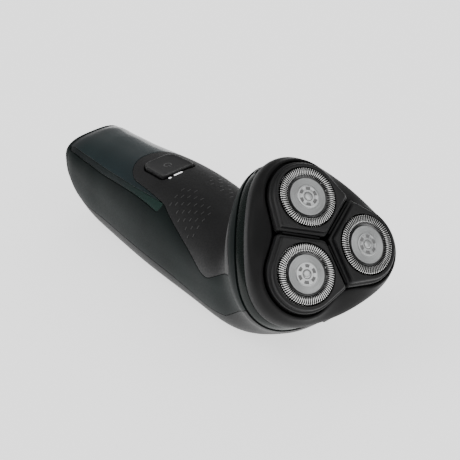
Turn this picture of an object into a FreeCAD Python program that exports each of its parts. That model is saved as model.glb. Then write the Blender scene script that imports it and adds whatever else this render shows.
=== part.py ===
"""Rotary electric shaver with three floating shaving heads, lying on its back.

Row frame, millimetres: +X runs from the tail of the handle to the shaving heads, +Y is the user's
left, +Z is the front, where the power button is. The origin is the middle of the flat strip along
the back, which the shaver lies on. The head is tilted towards the front: its own axis leans
head_tilt degrees up from +X, and everything in the head is laid out around that axis.
"""
import FreeCAD
import Part
import math
import os
import re

import Sketcher
from FreeCAD import Placement, Rotation, Vector

doc = FreeCAD.newDocument("RotaryShaver")

# ---------------------------------------------------------------- driving dimensions, in the sheet
DIMENSIONS = [
    # head layout: the centre of the cutting plane, its tilt, and the three lobes round it
    ("head_x", 66.5), ("head_z", 54.0), ("head_tilt", 40.0),
    ("lobe_offset", 15.6), ("unit_tilt", 5.5), ("drive_offset", 14.56),
    # handle shell
    ("wall", 2.2), ("tail_wall", 2.2), ("collar_depth", 20.0), ("collar_top_depth", 15.6),
    ("collar_wall", 2.4),
    # head housing and the pads that float in its opening
    ("housing_base_depth", 15.3), ("housing_rim_depth", 5.2), ("housing_wall", 1.6),
    ("opening_lobe_radius", 13.7), ("opening_valley", 18.5), ("rim_width", 0.8),
    ("pad_lobe_radius", 13.2), ("pad_valley", 18.0), ("pad_gap", 1.6), ("pad_top", 0.6),
    ("pad_bottom", 5.4), ("pad_step_depth", 2.5), ("pad_step_inset", 0.9), ("pad_hole_radius", 10.75),
    ("pivot_depth", 6.6), ("pivot_pin_radius", 0.6), ("pivot_clearance", 0.05),
    # retaining frame under the pads
    ("frame_top_depth", 8.2), ("frame_thickness", 1.2), ("frame_hole_radius", 10.6),
    ("rib_thickness", 0.6), ("rib_top_depth", 1.6),
    # guard, its centre insert and the cutter under it
    ("guard_radius", 10.4), ("guard_flange_radius", 11.3), ("guard_height", 6.2),
    ("guard_flange_height", 0.8), ("guard_skin", 0.45), ("guard_wall", 0.5), ("track_radius", 10.0),
    ("disc_radius", 6.75), ("disc_recess", 0.35), ("insert_radius", 4.1), ("insert_height", 0.35),
    ("cutter_radius", 9.5), ("cutter_gap", 0.25), ("blade_height", 2.4),
    ("blade_length", 1.9), ("blade_thickness", 0.5), ("blade_count", 15),
    ("cutter_disc_height", 0.8), ("hub_radius", 3.4), ("hub_bottom_depth", 10.6),
    ("socket_width", 3.6), ("socket_height", 1.8),
    # drive train
    ("gear_module", 0.56), ("pinion_teeth", 16), ("gear_teeth", 36), ("tooth_share", 0.42),
    ("gear_bottom_depth", 22.5), ("gear_width", 3.0), ("pinion_width", 4.0), ("pinion_drop", 0.5),
    ("gear_hub_radius", 2.4), ("gear_hub_height", 1.2),
    ("spindle_radius", 1.2), ("spindle_bottom_depth", 25.9), ("spindle_tip_depth", 9.6),
    ("coupling_width", 2.2), ("coupling_height", 1.4), ("bearing_clearance", 0.05),
    ("gear_plate_depth", 26.0), ("gear_plate_thickness", 1.5), ("gear_plate_lobe", 4.6),
    ("motor_radius", 10.2), ("motor_length", 24.0), ("motor_wall", 0.8), ("motor_cap_height", 2.0),
    ("armature_radius", 7.6), ("armature_length", 15.0), ("shaft_radius", 1.0),
    ("deck_top_depth", 16.8), ("deck_thickness", 1.6), ("deck_gap", 0.2), ("deck_hole_radius", 1.6),
    ("seal_radius", 3.0), ("seal_height", 1.2), ("seal_bore_radius", 1.55),
    # hinge at the back of the collar and release button at its front
    ("hinge_offset", 24.3), ("hinge_depth", 15.45), ("knuckle_radius", 1.5), ("hinge_pin_radius", 0.75),
    ("knuckle_gap", 0.35), ("knuckle_half_width", 3.0), ("hinge_half_length", 6.3), ("hinge_side_gap", 0.3),
    ("release_width", 9.2), ("release_height", 2.4), ("release_top", 31.8), ("release_bottom", 26.5),
    ("release_low_depth", 19.0), ("release_gap", 0.35), ("release_travel", 1.2), ("tongue_rise", 0.8),
    ("tongue_width", 6.0), ("tongue_thickness", 1.0), ("tongue_height", 3.4),
    # power button, switch and lights
    ("button_x", -26.5), ("button_z", 40.3), ("button_slope", 5.7), ("button_length", 15.0),
    ("button_tail_width", 14.0), ("button_head_width", 14.8),
    ("button_corner", 3.0), ("button_gap", 0.45), ("button_stem_radius", 2.2),
    ("button_proud", 0.3), ("button_rim", 0.5),
    ("light_height", 2.2), ("light_width", 0.7), ("light_offset", 0.15), ("light_sink", 2.65),
    # electronics and battery
    ("board_length", 50.0), ("board_width", 19.0), ("board_thickness", 1.2), ("board_x", -62.0),
    ("board_z", 29.6), ("switch_size", 6.0), ("switch_height", 2.8), ("plunger_radius", 1.6),
    ("plunger_height", 0.8), ("battery_radius", 7.0), ("battery_length", 50.0), ("battery_x", -52.0),
    ("battery_z", 14.25), ("contact_thickness", 0.4), ("contact_size", 9.0),
    ("chassis_x", -54.0), ("chassis_length", 62.0), ("chassis_half_width", 9.4), ("chassis_z", 6.0),
    ("chassis_wall", 1.2), ("boss_radius", 2.2), ("boss_bottom", 3.3),
    # charging socket in the tail
    ("socket_x", -79.2), ("socket_z", 23.9), ("inlet_depth", 9.4), ("inlet_width", 9.0),
    ("inlet_height", 5.2), ("inlet_wall", 1.1), ("inlet_base", 1.6), ("inlet_pin_radius", 0.8),
    ("inlet_pin_spacing", 4.4), ("inlet_pin_length", 5.0),
    # screws
    ("screw_radius", 0.9), ("screw_head_radius", 1.9), ("screw_head_height", 1.0),
    ("case_screw_length", 6.4), ("case_screw_z", 0.35), ("screw_tail_x", -46.0), ("screw_neck_x", 2.0),
    ("screw_side", 5.4), ("small_screw_length", 3.2),
]

sheet = doc.addObject("Spreadsheet::Sheet", "Sizes")
for row, (alias, value) in enumerate(DIMENSIONS, start=1):
    sheet.set(f"A{row}", alias.replace("_", " "))
    sheet.set(f"B{row}", str(value))
    sheet.setAlias(f"B{row}", alias)

# Cross-sections of the handle, from tail to collar. Each is a superellipse in a plane that leans by
# `lean`, centred at x, z: half width, height above and below the centre, squareness of its front
# and back halves, and how far it has turned into the collar's rounded triangle.
STATION_COLUMNS = ("x", "z", "lean", "half", "front", "back", "square_front", "square_back", "triangle")
STATIONS = [
    (-79.8, 24.8, 0, 11.6, 6.0, 8.8, 3.0, 3.0, 0),
    (-78.8, 24.6, 0, 13.0, 7.7, 12.0, 3.0, 3.0, 0),
    (-75.4, 23.8, 0, 14.3, 9.6, 16.0, 2.8, 3.0, 0),
    (-65.5, 22.0, 0, 15.4, 13.0, 20.2, 2.6, 3.0, 0),
    (-43.5, 20.5, 0, 17.0, 17.4, 20.8, 2.6, 3.0, 0),
    (-23.5, 20.0, 0, 18.6, 20.6, 20.3, 2.6, 3.0, 0),
    (-3.5, 20.0, 0, 19.2, 21.0, 20.3, 2.5, 3.0, 0),
    (12.5, 20.5, 8, 19.9, 18.5, 21.2, 2.4, 2.9, 0),
    (26.5, 23.5, 22, 21.2, 15.5, 24.5, 2.3, 2.7, 0),
    (40.85, 28.56, 40, 22.4, 18.5, 22.4, 2.2, 2.5, 0.1),
    (44.93, 34.59, 40, 24.8, 22.5, 24.8, 2.2, 2.4, 0.4),
    (48.5, 38.89, 40, 27.5, 28.0, 26.2, 2.1, 2.3, 0.8),
]
for number, station in enumerate(STATIONS, start=1):
    row = len(DIMENSIONS) + 1 + number
    sheet.set(f"A{row}", f"handle section {number}")
    for column, (title, value) in enumerate(zip(STATION_COLUMNS, station)):
        cell = f"{chr(ord('B') + column)}{row}"
        sheet.set(cell, str(value))
        sheet.setAlias(cell, f"section{number}_{title}")
doc.recompute()


def size(alias):
    """The value of one driving dimension."""
    return float(sheet.get(alias))


# ---------------------------------------------------------------- frames of the head
LOBE_ANGLES = {1: 90.0, 2: 210.0, 3: 330.0}  # lobe 1 is at the front, 2 and 3 towards the back
X_AXIS, Y_AXIS, Z_AXIS = Vector(1, 0, 0), Vector(0, 1, 0), Vector(0, 0, 1)


def moved(x, y, z):
    return Placement(Vector(x, y, z), Rotation())


def turned(axis, degrees):
    return Placement(Vector(), Rotation(axis, degrees))


# Head frame: X across the shaver, Y towards the front lobe, Z out of the cutting plane.
head_tilt = math.radians(size("head_tilt"))
HEAD_AXIS = Vector(math.cos(head_tilt), 0, math.sin(head_tilt))
HEAD_CENTRE = Vector(size("head_x"), 0, size("head_z"))
HEAD = Placement(HEAD_CENTRE, Rotation(Y_AXIS, Z_AXIS.cross(Y_AXIS), HEAD_AXIS, "ZXY"))


def unit_frame(lobe, height=0.0):
    """Frame of one shaving unit: X outward, Z along its own outward-leaning axis."""
    outward = turned(Z_AXIS, LOBE_ANGLES[lobe]) * moved(size("lobe_offset"), 0, 0)
    return HEAD * outward * turned(Y_AXIS, size("unit_tilt")) * moved(0, 0, height)


def drive_frame(lobe, height=0.0):
    """Frame of one drive spindle: parallel to the head axis, at the gear centre distance."""
    return HEAD * turned(Z_AXIS, LOBE_ANGLES[lobe]) * moved(size("drive_offset"), 0, height)


# ---------------------------------------------------------------- helpers
nodes = []  # every sub-part, in the order it is made


def keep(obj, label, placement=None):
    """Name a finished object as a sub-part and put it in its place."""
    obj.Label = label
    if placement is not None:
        obj.Placement = placement
    nodes.append(obj)
    return obj


def bind(obj, **expressions):
    for prop, expression in expressions.items():
        obj.setExpression(prop, expression)
    return obj


def origin_plane(body, role):
    return next(feature for feature in body.Origin.OriginFeatures if feature.Role == role)


def pin_coordinate(sketch, geometry, corner, direction, expression):
    """Fix one coordinate of a sketch point at an expression measured from the sketch's origin."""
    value = float(sheet.evalExpression(expression))
    if abs(value) < 1e-9:
        axis = -2 if direction == "DistanceX" else -1
        sketch.addConstraint(Sketcher.Constraint("PointOnObject", geometry, corner, axis))
        return
    ends = (-1, 1, geometry, corner) if value > 0 else (geometry, corner, -1, 1)
    signed = expression if value > 0 else f"-({expression})"
    index = sketch.addConstraint(Sketcher.Constraint(direction, *ends, abs(value)))
    sketch.setExpression(f"Constraints[{index}]", signed)


def outline(sketch, points):
    """A closed polygon in a sketch, each corner held by two expressions."""
    corners = [Vector(*(float(sheet.evalExpression(part)) for part in point), 0) for point in points]
    for here, there in zip(corners, corners[1:] + corners[:1]):
        sketch.addGeometry(Part.LineSegment(here, there), False)
    for index in range(len(corners)):
        sketch.addConstraint(Sketcher.Constraint("Coincident", index, 2, (index + 1) % len(corners), 1))
    for index, (across, up) in enumerate(points):
        pin_coordinate(sketch, index, 1, "DistanceX", across)
        pin_coordinate(sketch, index, 1, "DistanceY", up)


def new_sketch(body, name, plane, points):
    sketch = body.newObject("Sketcher::SketchObject", name)
    sketch.AttachmentSupport = (origin_plane(body, plane), [""])
    sketch.MapMode = "FlatFace"
    outline(sketch, points)
    return sketch


def sheet_names(text):
    """Rewrite bare dimension names in an expression as references to the sheet."""
    return re.sub(r"[a-z]+(?:_[a-z]+)+", lambda word: f"Sizes.{word.group(0)}", text)


def turned_body(label, profile):
    """A body of revolution: the profile's corners are (radius, height) from its base."""
    body = doc.addObject("PartDesign::Body", label)
    points = [(sheet_names(radius), sheet_names(height)) for radius, height in profile]
    sketch = new_sketch(body, f"{label}_profile", "XZ_Plane", points)
    feature = body.newObject("PartDesign::Revolution", f"{label}_turned")
    feature.Profile = sketch
    feature.ReferenceAxis = (sketch, ["V_Axis"])
    feature.Angle = 360
    body.Tip = feature
    return body


def pocket(body, name, points, depth, reverse=False):
    """Cut a polygon of the XY plane through a body, from z = 0 up."""
    named = [(sheet_names(across), sheet_names(up)) for across, up in points]
    sketch = new_sketch(body, f"{name}_outline", "XY_Plane", named)
    feature = body.newObject("PartDesign::Pocket", name)
    feature.Profile = sketch
    feature.Reversed = reverse
    feature.setExpression("Length", sheet_names(depth))
    body.Tip = feature
    return feature


def rectangle(width, height):
    """Corners of a rectangle centred on the sketch's origin, as expressions."""
    across, up = f"({width})/2", f"({height})/2"
    return [(f"-{across}", f"-{up}"), (across, f"-{up}"), (across, up), (f"-{across}", up)]


def box(name, length, width, height, placement=None):
    obj = doc.addObject("Part::Box", name)
    bind(obj, Length=sheet_names(length), Width=sheet_names(width), Height=sheet_names(height))
    if placement is not None:
        obj.Placement = placement
    return obj


def cylinder(name, radius, height, placement=None):
    obj = doc.addObject("Part::Cylinder", name)
    bind(obj, Radius=sheet_names(radius), Height=sheet_names(height))
    if placement is not None:
        obj.Placement = placement
    return obj


def cut(name, base, tool):
    obj = doc.addObject("Part::Cut", name)
    obj.Base, obj.Tool = base, tool
    return obj


def fuse(name, shapes):
    obj = doc.addObject("Part::MultiFuse", name)
    obj.Shapes = shapes
    return obj


def solid_feature(label, shape, placement=None):
    """A sub-part whose shape is worked out with Part's own functions from the sheet."""
    obj = doc.addObject("Part::Feature", label)
    obj.Shape = shape
    return keep(obj, label, placement)


# ---------------------------------------------------------------- handle shell
OUTLINE_POINTS = 48
LOFT_DEGREE = 3


def rounded_triangle(turn, lobe_radius, bulge):
    """Radius of a rounded triangle at an angle from a lobe: three lobes and gently bulging sides."""
    lobe = size("lobe_offset") + lobe_radius
    side = size("lobe_offset") / 2 + lobe_radius + bulge
    ripple = 0.34
    middle = (lobe + side) / 2 - ripple
    return middle + (lobe - side) / 2 * math.cos(3 * turn) + ripple * math.cos(6 * turn)


def trefoil(turn, lobe_radius, valley_radius):
    """Radius of three round lobes joined by straight flanks that meet in shallow valleys."""
    offset = size("lobe_offset")
    folded = abs((turn + math.pi / 3) % (2 * math.pi / 3) - math.pi / 3)
    across, along = valley_radius / 2 - offset, valley_radius * math.sqrt(3) / 2
    flank = math.atan2(along, across) - math.acos(lobe_radius / math.hypot(across, along))
    touch_x = offset + lobe_radius * math.cos(flank)
    touch_y = lobe_radius * math.sin(flank)
    if folded > math.atan2(touch_y, touch_x):
        return (offset * math.cos(flank) + lobe_radius) / math.cos(folded - flank)
    return offset * math.cos(folded) + math.sqrt(lobe_radius**2 - (offset * math.sin(folded)) ** 2)


def closed_curve(points):
    """A smooth closed wire through evenly numbered points."""
    curve = Part.BSplineCurve()
    curve.interpolate(Points=points, PeriodicFlag=True, Parameters=list(range(len(points) + 1)))
    return Part.Wire(curve.toShape())


def polar_wire(radius_at, depth):
    """A closed wire round the head axis, at a depth below the cutting plane."""
    turns = [2 * math.pi * index / OUTLINE_POINTS for index in range(OUTLINE_POINTS)]
    points = []
    for turn in turns:
        radius = radius_at(turn - math.pi / 2)
        points.append(HEAD.multVec(Vector(radius * math.cos(turn), radius * math.sin(turn), -depth)))
    return closed_curve(points)


def handle_section(values, inset):
    """One closed cross-section of the handle, moved inward by inset."""
    lean = math.radians(values["lean"])
    points = []
    for index in range(OUTLINE_POINTS):
        turn = 2 * math.pi * index / OUTLINE_POINTS
        across, up = math.cos(turn), math.sin(turn)
        square = values["square_front"] if up >= 0 else values["square_back"]
        height = (values["front"] if up >= 0 else values["back"]) - inset
        width = values["half"] - inset
        oval = (abs(across / width) ** square + abs(up / height) ** square) ** (-1 / square)
        corner = rounded_triangle(turn - math.pi / 2, COLLAR_LOBE - inset, COLLAR_BULGE)
        radius = oval + (corner - oval) * values["triangle"]
        rise = radius * up
        along, height_above = -rise * math.sin(lean), rise * math.cos(lean)
        points.append(Vector(values["x"] + along, radius * across, values["z"] + height_above))
    return closed_curve(points)


COLLAR_LOBE, COLLAR_BULGE = 16.4, 1.2  # the rounded triangle where the handle meets the collar
sections = [
    {title: size(f"section{number}_{title}") for title in STATION_COLUMNS}
    for number in range(1, len(STATIONS) + 1)
]


def handle_loft(inset, first):
    """The handle's outer or inner solid, from the tail to the collar."""
    wires = [handle_section(values, inset) for values in sections[first:]]
    if inset:
        start = dict(sections[first])
        start["x"] = sections[0]["x"] + size("tail_wall")
        wires = [handle_section(start, inset)] + wires[1:]

    def rim_radius(turn):
        return rounded_triangle(turn, COLLAR_LOBE - inset, COLLAR_BULGE)

    wires.append(polar_wire(rim_radius, size("collar_depth")))
    return Part.makeLoft(wires, True, False, False, LOFT_DEGREE)


def top_prism(wire, bottom, top):
    """A solid that covers a closed wire of the XY plane between two heights."""
    face = Part.Face(wire)
    face.translate(Vector(0, 0, bottom))
    return face.extrude(Vector(0, 0, top - bottom))


def head_point(across, along, depth):
    return HEAD.multVec(Vector(across, along, -depth))


def rounded_wire(corners, radii):
    """A closed wire through corners, each rounded by a tangent arc of its own radius."""
    edges = []
    starts, ends = [], []
    count = len(corners)
    for index, (corner, radius) in enumerate(zip(corners, radii)):
        back = (corners[index - 1] - corner).normalize()
        ahead = (corners[(index + 1) % count] - corner).normalize()
        half = back.getAngle(ahead) / 2
        reach = radius / math.tan(half)
        starts.append(corner + back * reach)
        ends.append(corner + ahead * reach)
        if radius:
            middle = (back + ahead).normalize() * (radius / math.sin(half) - radius)
            edges.append((starts[-1], corner + middle, ends[-1]))
        else:
            edges.append(None)
    out = []
    for index in range(count):
        if edges[index]:
            out.append(Part.Arc(*edges[index]).toShape())
        out.append(Part.makeLine(ends[index], starts[(index + 1) % count]))
    return Part.Wire(out)


def button_frame(height=0.0):
    """Frame of the power button: Z out of the front surface, X towards the head."""
    place = moved(size("button_x"), 0, size("button_z"))
    return place * turned(Y_AXIS, -size("button_slope")) * moved(0, 0, height)


def button_wire(grow):
    """The button's rounded trapezoid in its own XY plane, grown by a gap."""
    long = size("button_length") / 2 + grow
    tail = size("button_tail_width") / 2 + grow
    head = size("button_head_width") / 2 + grow
    corners = [
        Vector(-long, -tail, 0), Vector(long, -head, 0), Vector(long, head, 0), Vector(-long, tail, 0),
    ]
    big = size("button_corner") + grow
    return rounded_wire(corners, [big + 1.0, big - 1.0, big - 1.0, big + 1.0])


# Where the pieces of the shell meet, in side view.
SEAM_TAIL = [Vector(-81, -60, 20.5), Vector(-75.0, -60, 12.6), Vector(-66, -60, 10.2)]
SEAM_MIDDLE = [Vector(-66, -60, 10.2), Vector(-23, -60, 12.0), Vector(17, -60, 10.4)]
SEAM_NECK = -10.4          # across the neck the seam runs parallel to the head axis, at this height
WING_TOP = (-9.2, 36.4)    # where the grip's wings start down the sides
WING_HEEL = (22.8, 23.6)   # lowest corner of a wing
WING_HEIGHT = 2.6          # head-frame height of a wing's lower edge
WING_FRONT_DEPTH = 24.0    # the wings stop short of the collar rim
NOSE_CENTRE, NOSE_RADIUS, NOSE_FLARE = -28.0, 12.6, 14.2
PANEL_TAIL, PANEL_TIP, PANEL_TAIL_HALF, PANEL_TIP_HALF = -77.0, -10.6, 12.7, 16.6
TAIL_CAP_EDGE = -76.2


def seam_prism():
    """Everything behind the seam of the rear cover."""
    neck_start = head_point(0, SEAM_NECK, 52) + Vector(0, -60, 0)
    neck_end = head_point(0, SEAM_NECK, 0) + Vector(0, -60, 0)
    bend = [SEAM_MIDDLE[2], Vector(26.5, -60, 11.0), neck_start]
    edges = [Part.Arc(*SEAM_TAIL).toShape(), Part.Arc(*SEAM_MIDDLE).toShape(), Part.Arc(*bend).toShape()]
    below = [
        neck_start, neck_end, Vector(110, -60, neck_end.z), Vector(110, -60, -20), Vector(-90, -60, -20),
        Vector(-90, -60, 20.5), SEAM_TAIL[0],
    ]
    edges += [Part.makeLine(here, there) for here, there in zip(below, below[1:])]
    return Part.Face(Part.Wire(edges)).extrude(Vector(0, 120, 0))


def nose_tool():
    """The grip's round nose about the button, in top view, as far as the start of the wings."""
    reach = math.hypot(WING_TOP[0] - NOSE_CENTRE, NOSE_FLARE)
    touch = math.atan2(NOSE_FLARE, WING_TOP[0] - NOSE_CENTRE) + math.acos(NOSE_RADIUS / reach)
    upper = Vector(NOSE_CENTRE + NOSE_RADIUS * math.cos(touch), NOSE_RADIUS * math.sin(touch), 0)
    lower = Vector(upper.x, -upper.y, 0)
    arc = Part.Arc(upper, Vector(NOSE_CENTRE - NOSE_RADIUS, 0, 0), lower).toShape()
    flare_low, flare_high = Vector(WING_TOP[0], -NOSE_FLARE, 0), Vector(WING_TOP[0], NOSE_FLARE, 0)
    corners = [lower, flare_low, flare_high, upper]
    lines = [Part.makeLine(here, there) for here, there in zip(corners, corners[1:])]
    return top_prism(Part.Wire([arc] + lines), 24, 60)


def wing_tool():
    """The grip forward of the nose: everything above the wings' edge, in side view."""
    front_low = head_point(0, WING_HEIGHT, WING_FRONT_DEPTH)
    front_high = head_point(0, 50, WING_FRONT_DEPTH)
    corners = [
        Vector(WING_TOP[0], -60, WING_TOP[1]), Vector(WING_HEEL[0], -60, WING_HEEL[1]),
        front_low + Vector(0, -60, 0), front_high + Vector(0, -60, 0), Vector(WING_TOP[0], -60, 90),
    ]
    wire = rounded_wire(corners, [0, 7.0, 3.0, 0, 0])
    return Part.Face(wire).extrude(Vector(0, 120, 0))


def panel_tool():
    """The glossy front panel with its bevelled edges, in top view."""
    corners = [
        Vector(PANEL_TAIL, -PANEL_TAIL_HALF, 0), Vector(PANEL_TIP, -PANEL_TIP_HALF, 0),
        Vector(PANEL_TIP, PANEL_TIP_HALF, 0), Vector(PANEL_TAIL, PANEL_TAIL_HALF, 0),
    ]
    tail_radius, tip_radius = 3.0, 2.2
    return top_prism(rounded_wire(corners, [tail_radius, tip_radius, tip_radius, tail_radius]), 24, 60)


def half_space(x_low, x_high, y_low, y_high, z_low=-20.0, z_high=90.0):
    return Part.makeBox(x_high - x_low, y_high - y_low, z_high - z_low, Vector(x_low, y_low, z_low))


# ---------------------------------------------------------------- handle shell pieces
outer = handle_loft(0, 0)
shell = outer.cut(handle_loft(size("wall"), 1)).cut(half_space(-90, 90, -60, 60, -20, 0))
behind_seam = seam_prism()
front_shell = shell.cut(behind_seam)
tail_half = half_space(-90, TAIL_CAP_EDGE, -60, 60)
grip_tool = nose_tool().fuse(wing_tool())
inlet_block_width = size("inlet_width") + 2 * size("inlet_wall")
inlet_block_height = size("inlet_height") + 2 * size("inlet_wall")
inlet_block_bottom = size("socket_z") - inlet_block_height / 2
inlet_hole = Part.makeBox(
    12, inlet_block_width, inlet_block_height, Vector(-86, -inlet_block_width / 2, inlet_block_bottom)
)

screw_side = size("screw_side")
screw_places = [
    (x, side) for x in (size("screw_tail_x"), size("screw_neck_x")) for side in (-screw_side, screw_side)
]
head_recess = size("case_screw_z") + size("screw_head_height")
SCREW_HOLE_CLEARANCE, SCREW_HEAD_CLEARANCE = 0.1, 0.15
screw_holes = []
for x, side in screw_places:
    below = Vector(x, side, -2)
    screw_holes.append(Part.makeCylinder(size("screw_radius") + SCREW_HOLE_CLEARANCE, 8, below))
    head_radius = size("screw_head_radius") + SCREW_HEAD_CLEARANCE
    screw_holes.append(Part.makeCylinder(head_radius, head_recess + 2, below))
rear = shell.common(behind_seam).cut(inlet_hole)
solid_feature("rear_cover", rear.cut(Part.makeCompound(screw_holes)))

tail_cap = front_shell.common(tail_half).cut(inlet_hole)
panel_region = panel_tool()
solid_feature("tail_cap", tail_cap.cut(panel_region))
front_panel = front_shell.common(panel_region).cut(grip_tool).cut(inlet_hole)
solid_feature("front_panel", front_panel)

button_hole = Part.Face(button_wire(size("button_gap"))).extrude(Vector(0, 0, 12))
button_hole.Placement = button_frame(-7)
LIGHTS = ((-5.8, 1.3), (-3.3, 3.9))  # start and length of the two lights beside the button
light_x = size("button_length") / 2 + size("button_gap") + size("light_offset")
light_bars = []
for start, length in LIGHTS:
    bar = Part.makeBox(size("light_width"), length, size("light_height"))
    bar.Placement = button_frame() * moved(light_x, start, -size("light_sink"))
    light_bars.append(bar)
grip = front_shell.common(grip_tool).cut(button_hole).cut(Part.makeCompound(light_bars))
solid_feature("grip_cover", grip)

sides = front_shell.cut(tail_half).cut(panel_region).cut(grip_tool)
solid_feature("side_panel_left", sides.common(half_space(-90, 90, 0, 60)))
solid_feature("side_panel_right", sides.common(half_space(-90, 90, -60, 0)))

# ---------------------------------------------------------------- collar ring with its hinge knuckle
collar_low, collar_high = size("collar_depth"), size("collar_top_depth")


def collar_low_radius(turn):
    return rounded_triangle(turn, COLLAR_LOBE - 0.4, COLLAR_BULGE - 0.1)


def collar_high_radius(turn):
    return rounded_triangle(turn, 15.5, 0.4)


def collar_inner_radius(turn):
    return collar_high_radius(turn) - size("collar_wall")


def head_cylinder(radius, half_length, along, depth):
    """A cylinder across the shaver, centred on the plane of symmetry."""
    start = head_point(-half_length, along, depth)
    return Part.makeCylinder(radius, 2 * half_length, start, Y_AXIS)


def head_box(width, height, along_low, depth_low):
    """A block in the head frame: across, along and out of the cutting plane."""
    shape = Part.makeBox(width[1] - width[0], height[1] - height[0], along_low[1] - along_low[0])
    shape.Placement = HEAD * moved(width[0], height[0], along_low[0] - depth_low)
    return shape


hinge_along, hinge_depth = -size("hinge_offset"), size("hinge_depth")
knuckle, reach = size("knuckle_radius"), size("hinge_half_length")
middle_half, side_gap = size("knuckle_half_width"), size("hinge_side_gap")
outer_rims = [polar_wire(collar_low_radius, collar_low), polar_wire(collar_high_radius, collar_high)]
inner_rims = [polar_wire(collar_inner_radius, depth) for depth in (collar_low + 1, collar_high - 1)]
ring = Part.makeLoft(outer_rims, True, False).cut(Part.makeLoft(inner_rims, True))
middle_knuckle = head_cylinder(knuckle, middle_half, hinge_along, hinge_depth)
middle_across = (-middle_half, middle_half)
lug = head_box(middle_across, (hinge_along - knuckle * 0.9, hinge_along + 1.0), (-2.2, 0), hinge_depth)
clearance_radius = knuckle + size("knuckle_gap")
ring = ring.cut(head_cylinder(clearance_radius, reach + side_gap, hinge_along, hinge_depth))
ring = ring.fuse(middle_knuckle.fuse(lug))
ring = ring.cut(head_cylinder(size("hinge_pin_radius"), reach + 1, hinge_along, hinge_depth))
release_gap, release_low = size("release_gap"), size("release_low_depth")
release_half, release_height = size("release_width") / 2, size("release_height")
release_slot = head_box(
    (-release_half - release_gap, release_half + release_gap), (20, 40),
    (-release_gap, release_height + release_gap), release_low,
)
tongue_half = size("tongue_width") / 2
tongue_low = size("release_bottom") + size("tongue_rise")
tongue_high = tongue_low + size("tongue_thickness")
tongue_slot = head_box(
    (-tongue_half - release_gap, tongue_half + release_gap),
    (tongue_low - size("release_travel") - release_gap, tongue_high + release_gap), (0, 8), release_low,
)
solid_feature("collar_ring", ring.cut(release_slot).cut(tongue_slot))
keep(
    cylinder("hinge_pin", "hinge_pin_radius", "hinge_half_length*2"), "hinge_pin",
    Placement(head_point(-reach, hinge_along, hinge_depth), Rotation(Z_AXIS, Y_AXIS)),
)

# ---------------------------------------------------------------- release button at the collar's front
slab_reach = (size("release_bottom"), size("release_top"))
slab = head_box((-release_half, release_half), slab_reach, (0, release_height), release_low)
tongue = head_box(
    (-tongue_half, tongue_half), (tongue_low, tongue_high),
    (release_height - 0.2, release_height + size("tongue_height")), release_low,
)
frontward = HEAD.Rotation.multVec(Y_AXIS)
RELEASE_ROUNDING = 0.5
rounded_edges = [
    edge for edge in slab.Edges if edge.CenterOfMass.sub(slab.CenterOfMass).dot(frontward) > 2
]
solid_feature("release_button", slab.makeFillet(RELEASE_ROUNDING, rounded_edges).fuse(tongue))

# ---------------------------------------------------------------- drive deck, seals and gear plate
deck_low = size("deck_top_depth") + size("deck_thickness")
deck = Part.makeLoft(
    [
        polar_wire(lambda turn: collar_inner_radius(turn) - size("deck_gap"), depth)
        for depth in (deck_low, size("deck_top_depth"))
    ], True,
)
deck_notch = head_box((-release_half - 1, release_half + 1), (24.8, 40), (-1, 8), deck_low)
deck = deck.cut(deck_notch)
for lobe in LOBE_ANGLES:
    hole = Part.makeCylinder(size("deck_hole_radius"), 4)
    hole.Placement = drive_frame(lobe, -size("deck_top_depth") - size("deck_thickness") - 1)
    deck = deck.cut(hole)
DECK_SCREW_ANGLES, DECK_SCREW_OFFSET, POST_RADIUS = (30.0, 150.0, 270.0), 11.5, 1.9


def deck_screw_frame(angle, height):
    return HEAD * turned(Z_AXIS, angle) * moved(DECK_SCREW_OFFSET, 0, height)


for angle in DECK_SCREW_ANGLES:
    hole = Part.makeCylinder(size("screw_radius"), 4)
    hole.Placement = deck_screw_frame(angle, -size("deck_top_depth") - size("deck_thickness") - 1)
    deck = deck.cut(hole)
solid_feature("drive_deck", deck)
for lobe in LOBE_ANGLES:
    seal = turned_body(f"spindle_seal_{lobe}", [
        ("seal_bore_radius", "0"), ("seal_radius", "0"), ("seal_radius", "seal_height*0.4"),
        ("seal_radius*0.7", "seal_height"), ("seal_bore_radius", "seal_height"),
    ])
    keep(seal, f"spindle_seal_{lobe}", drive_frame(lobe, -size("deck_top_depth")))

gear_plate_low = -size("gear_plate_depth")
GEAR_PLATE_VALLEY = 13.5


def gear_plate_radius(turn):
    return trefoil(turn, size("gear_plate_lobe"), GEAR_PLATE_VALLEY)


gear_plate_top = size("gear_plate_depth") - size("gear_plate_thickness")
plate_wires = [polar_wire(gear_plate_radius, depth) for depth in (size("gear_plate_depth"), gear_plate_top)]
plate = Part.makeLoft(plate_wires, True)
for lobe in LOBE_ANGLES:
    bore = Part.makeCylinder(size("spindle_radius") + size("bearing_clearance"), 6)
    bore.Placement = drive_frame(lobe, gear_plate_low - 2)
    plate = plate.cut(bore)
shaft_hole = Part.makeCylinder(2.6, 6)
shaft_hole.Placement = HEAD * moved(0, 0, gear_plate_low - 2)
plate = plate.cut(shaft_hole)
MOTOR_SCREW_OFFSET, MOTOR_SCREW_ANGLES = 6.4, (0.0, 180.0)
for angle in MOTOR_SCREW_ANGLES:
    hole = Part.makeCylinder(size("screw_radius"), 6)
    hole.Placement = HEAD * turned(Z_AXIS, angle) * moved(MOTOR_SCREW_OFFSET, 0, gear_plate_low - 2)
    plate = plate.cut(hole)
post_height = gear_plate_top - deck_low
for angle in DECK_SCREW_ANGLES:
    post = Part.makeCylinder(POST_RADIUS, post_height)
    post = post.cut(Part.makeCylinder(size("screw_radius"), 4, Vector(0, 0, post_height - 4)))
    post.Placement = deck_screw_frame(angle, gear_plate_low + size("gear_plate_thickness"))
    plate = plate.fuse(post)
solid_feature("gear_plate", plate)

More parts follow.
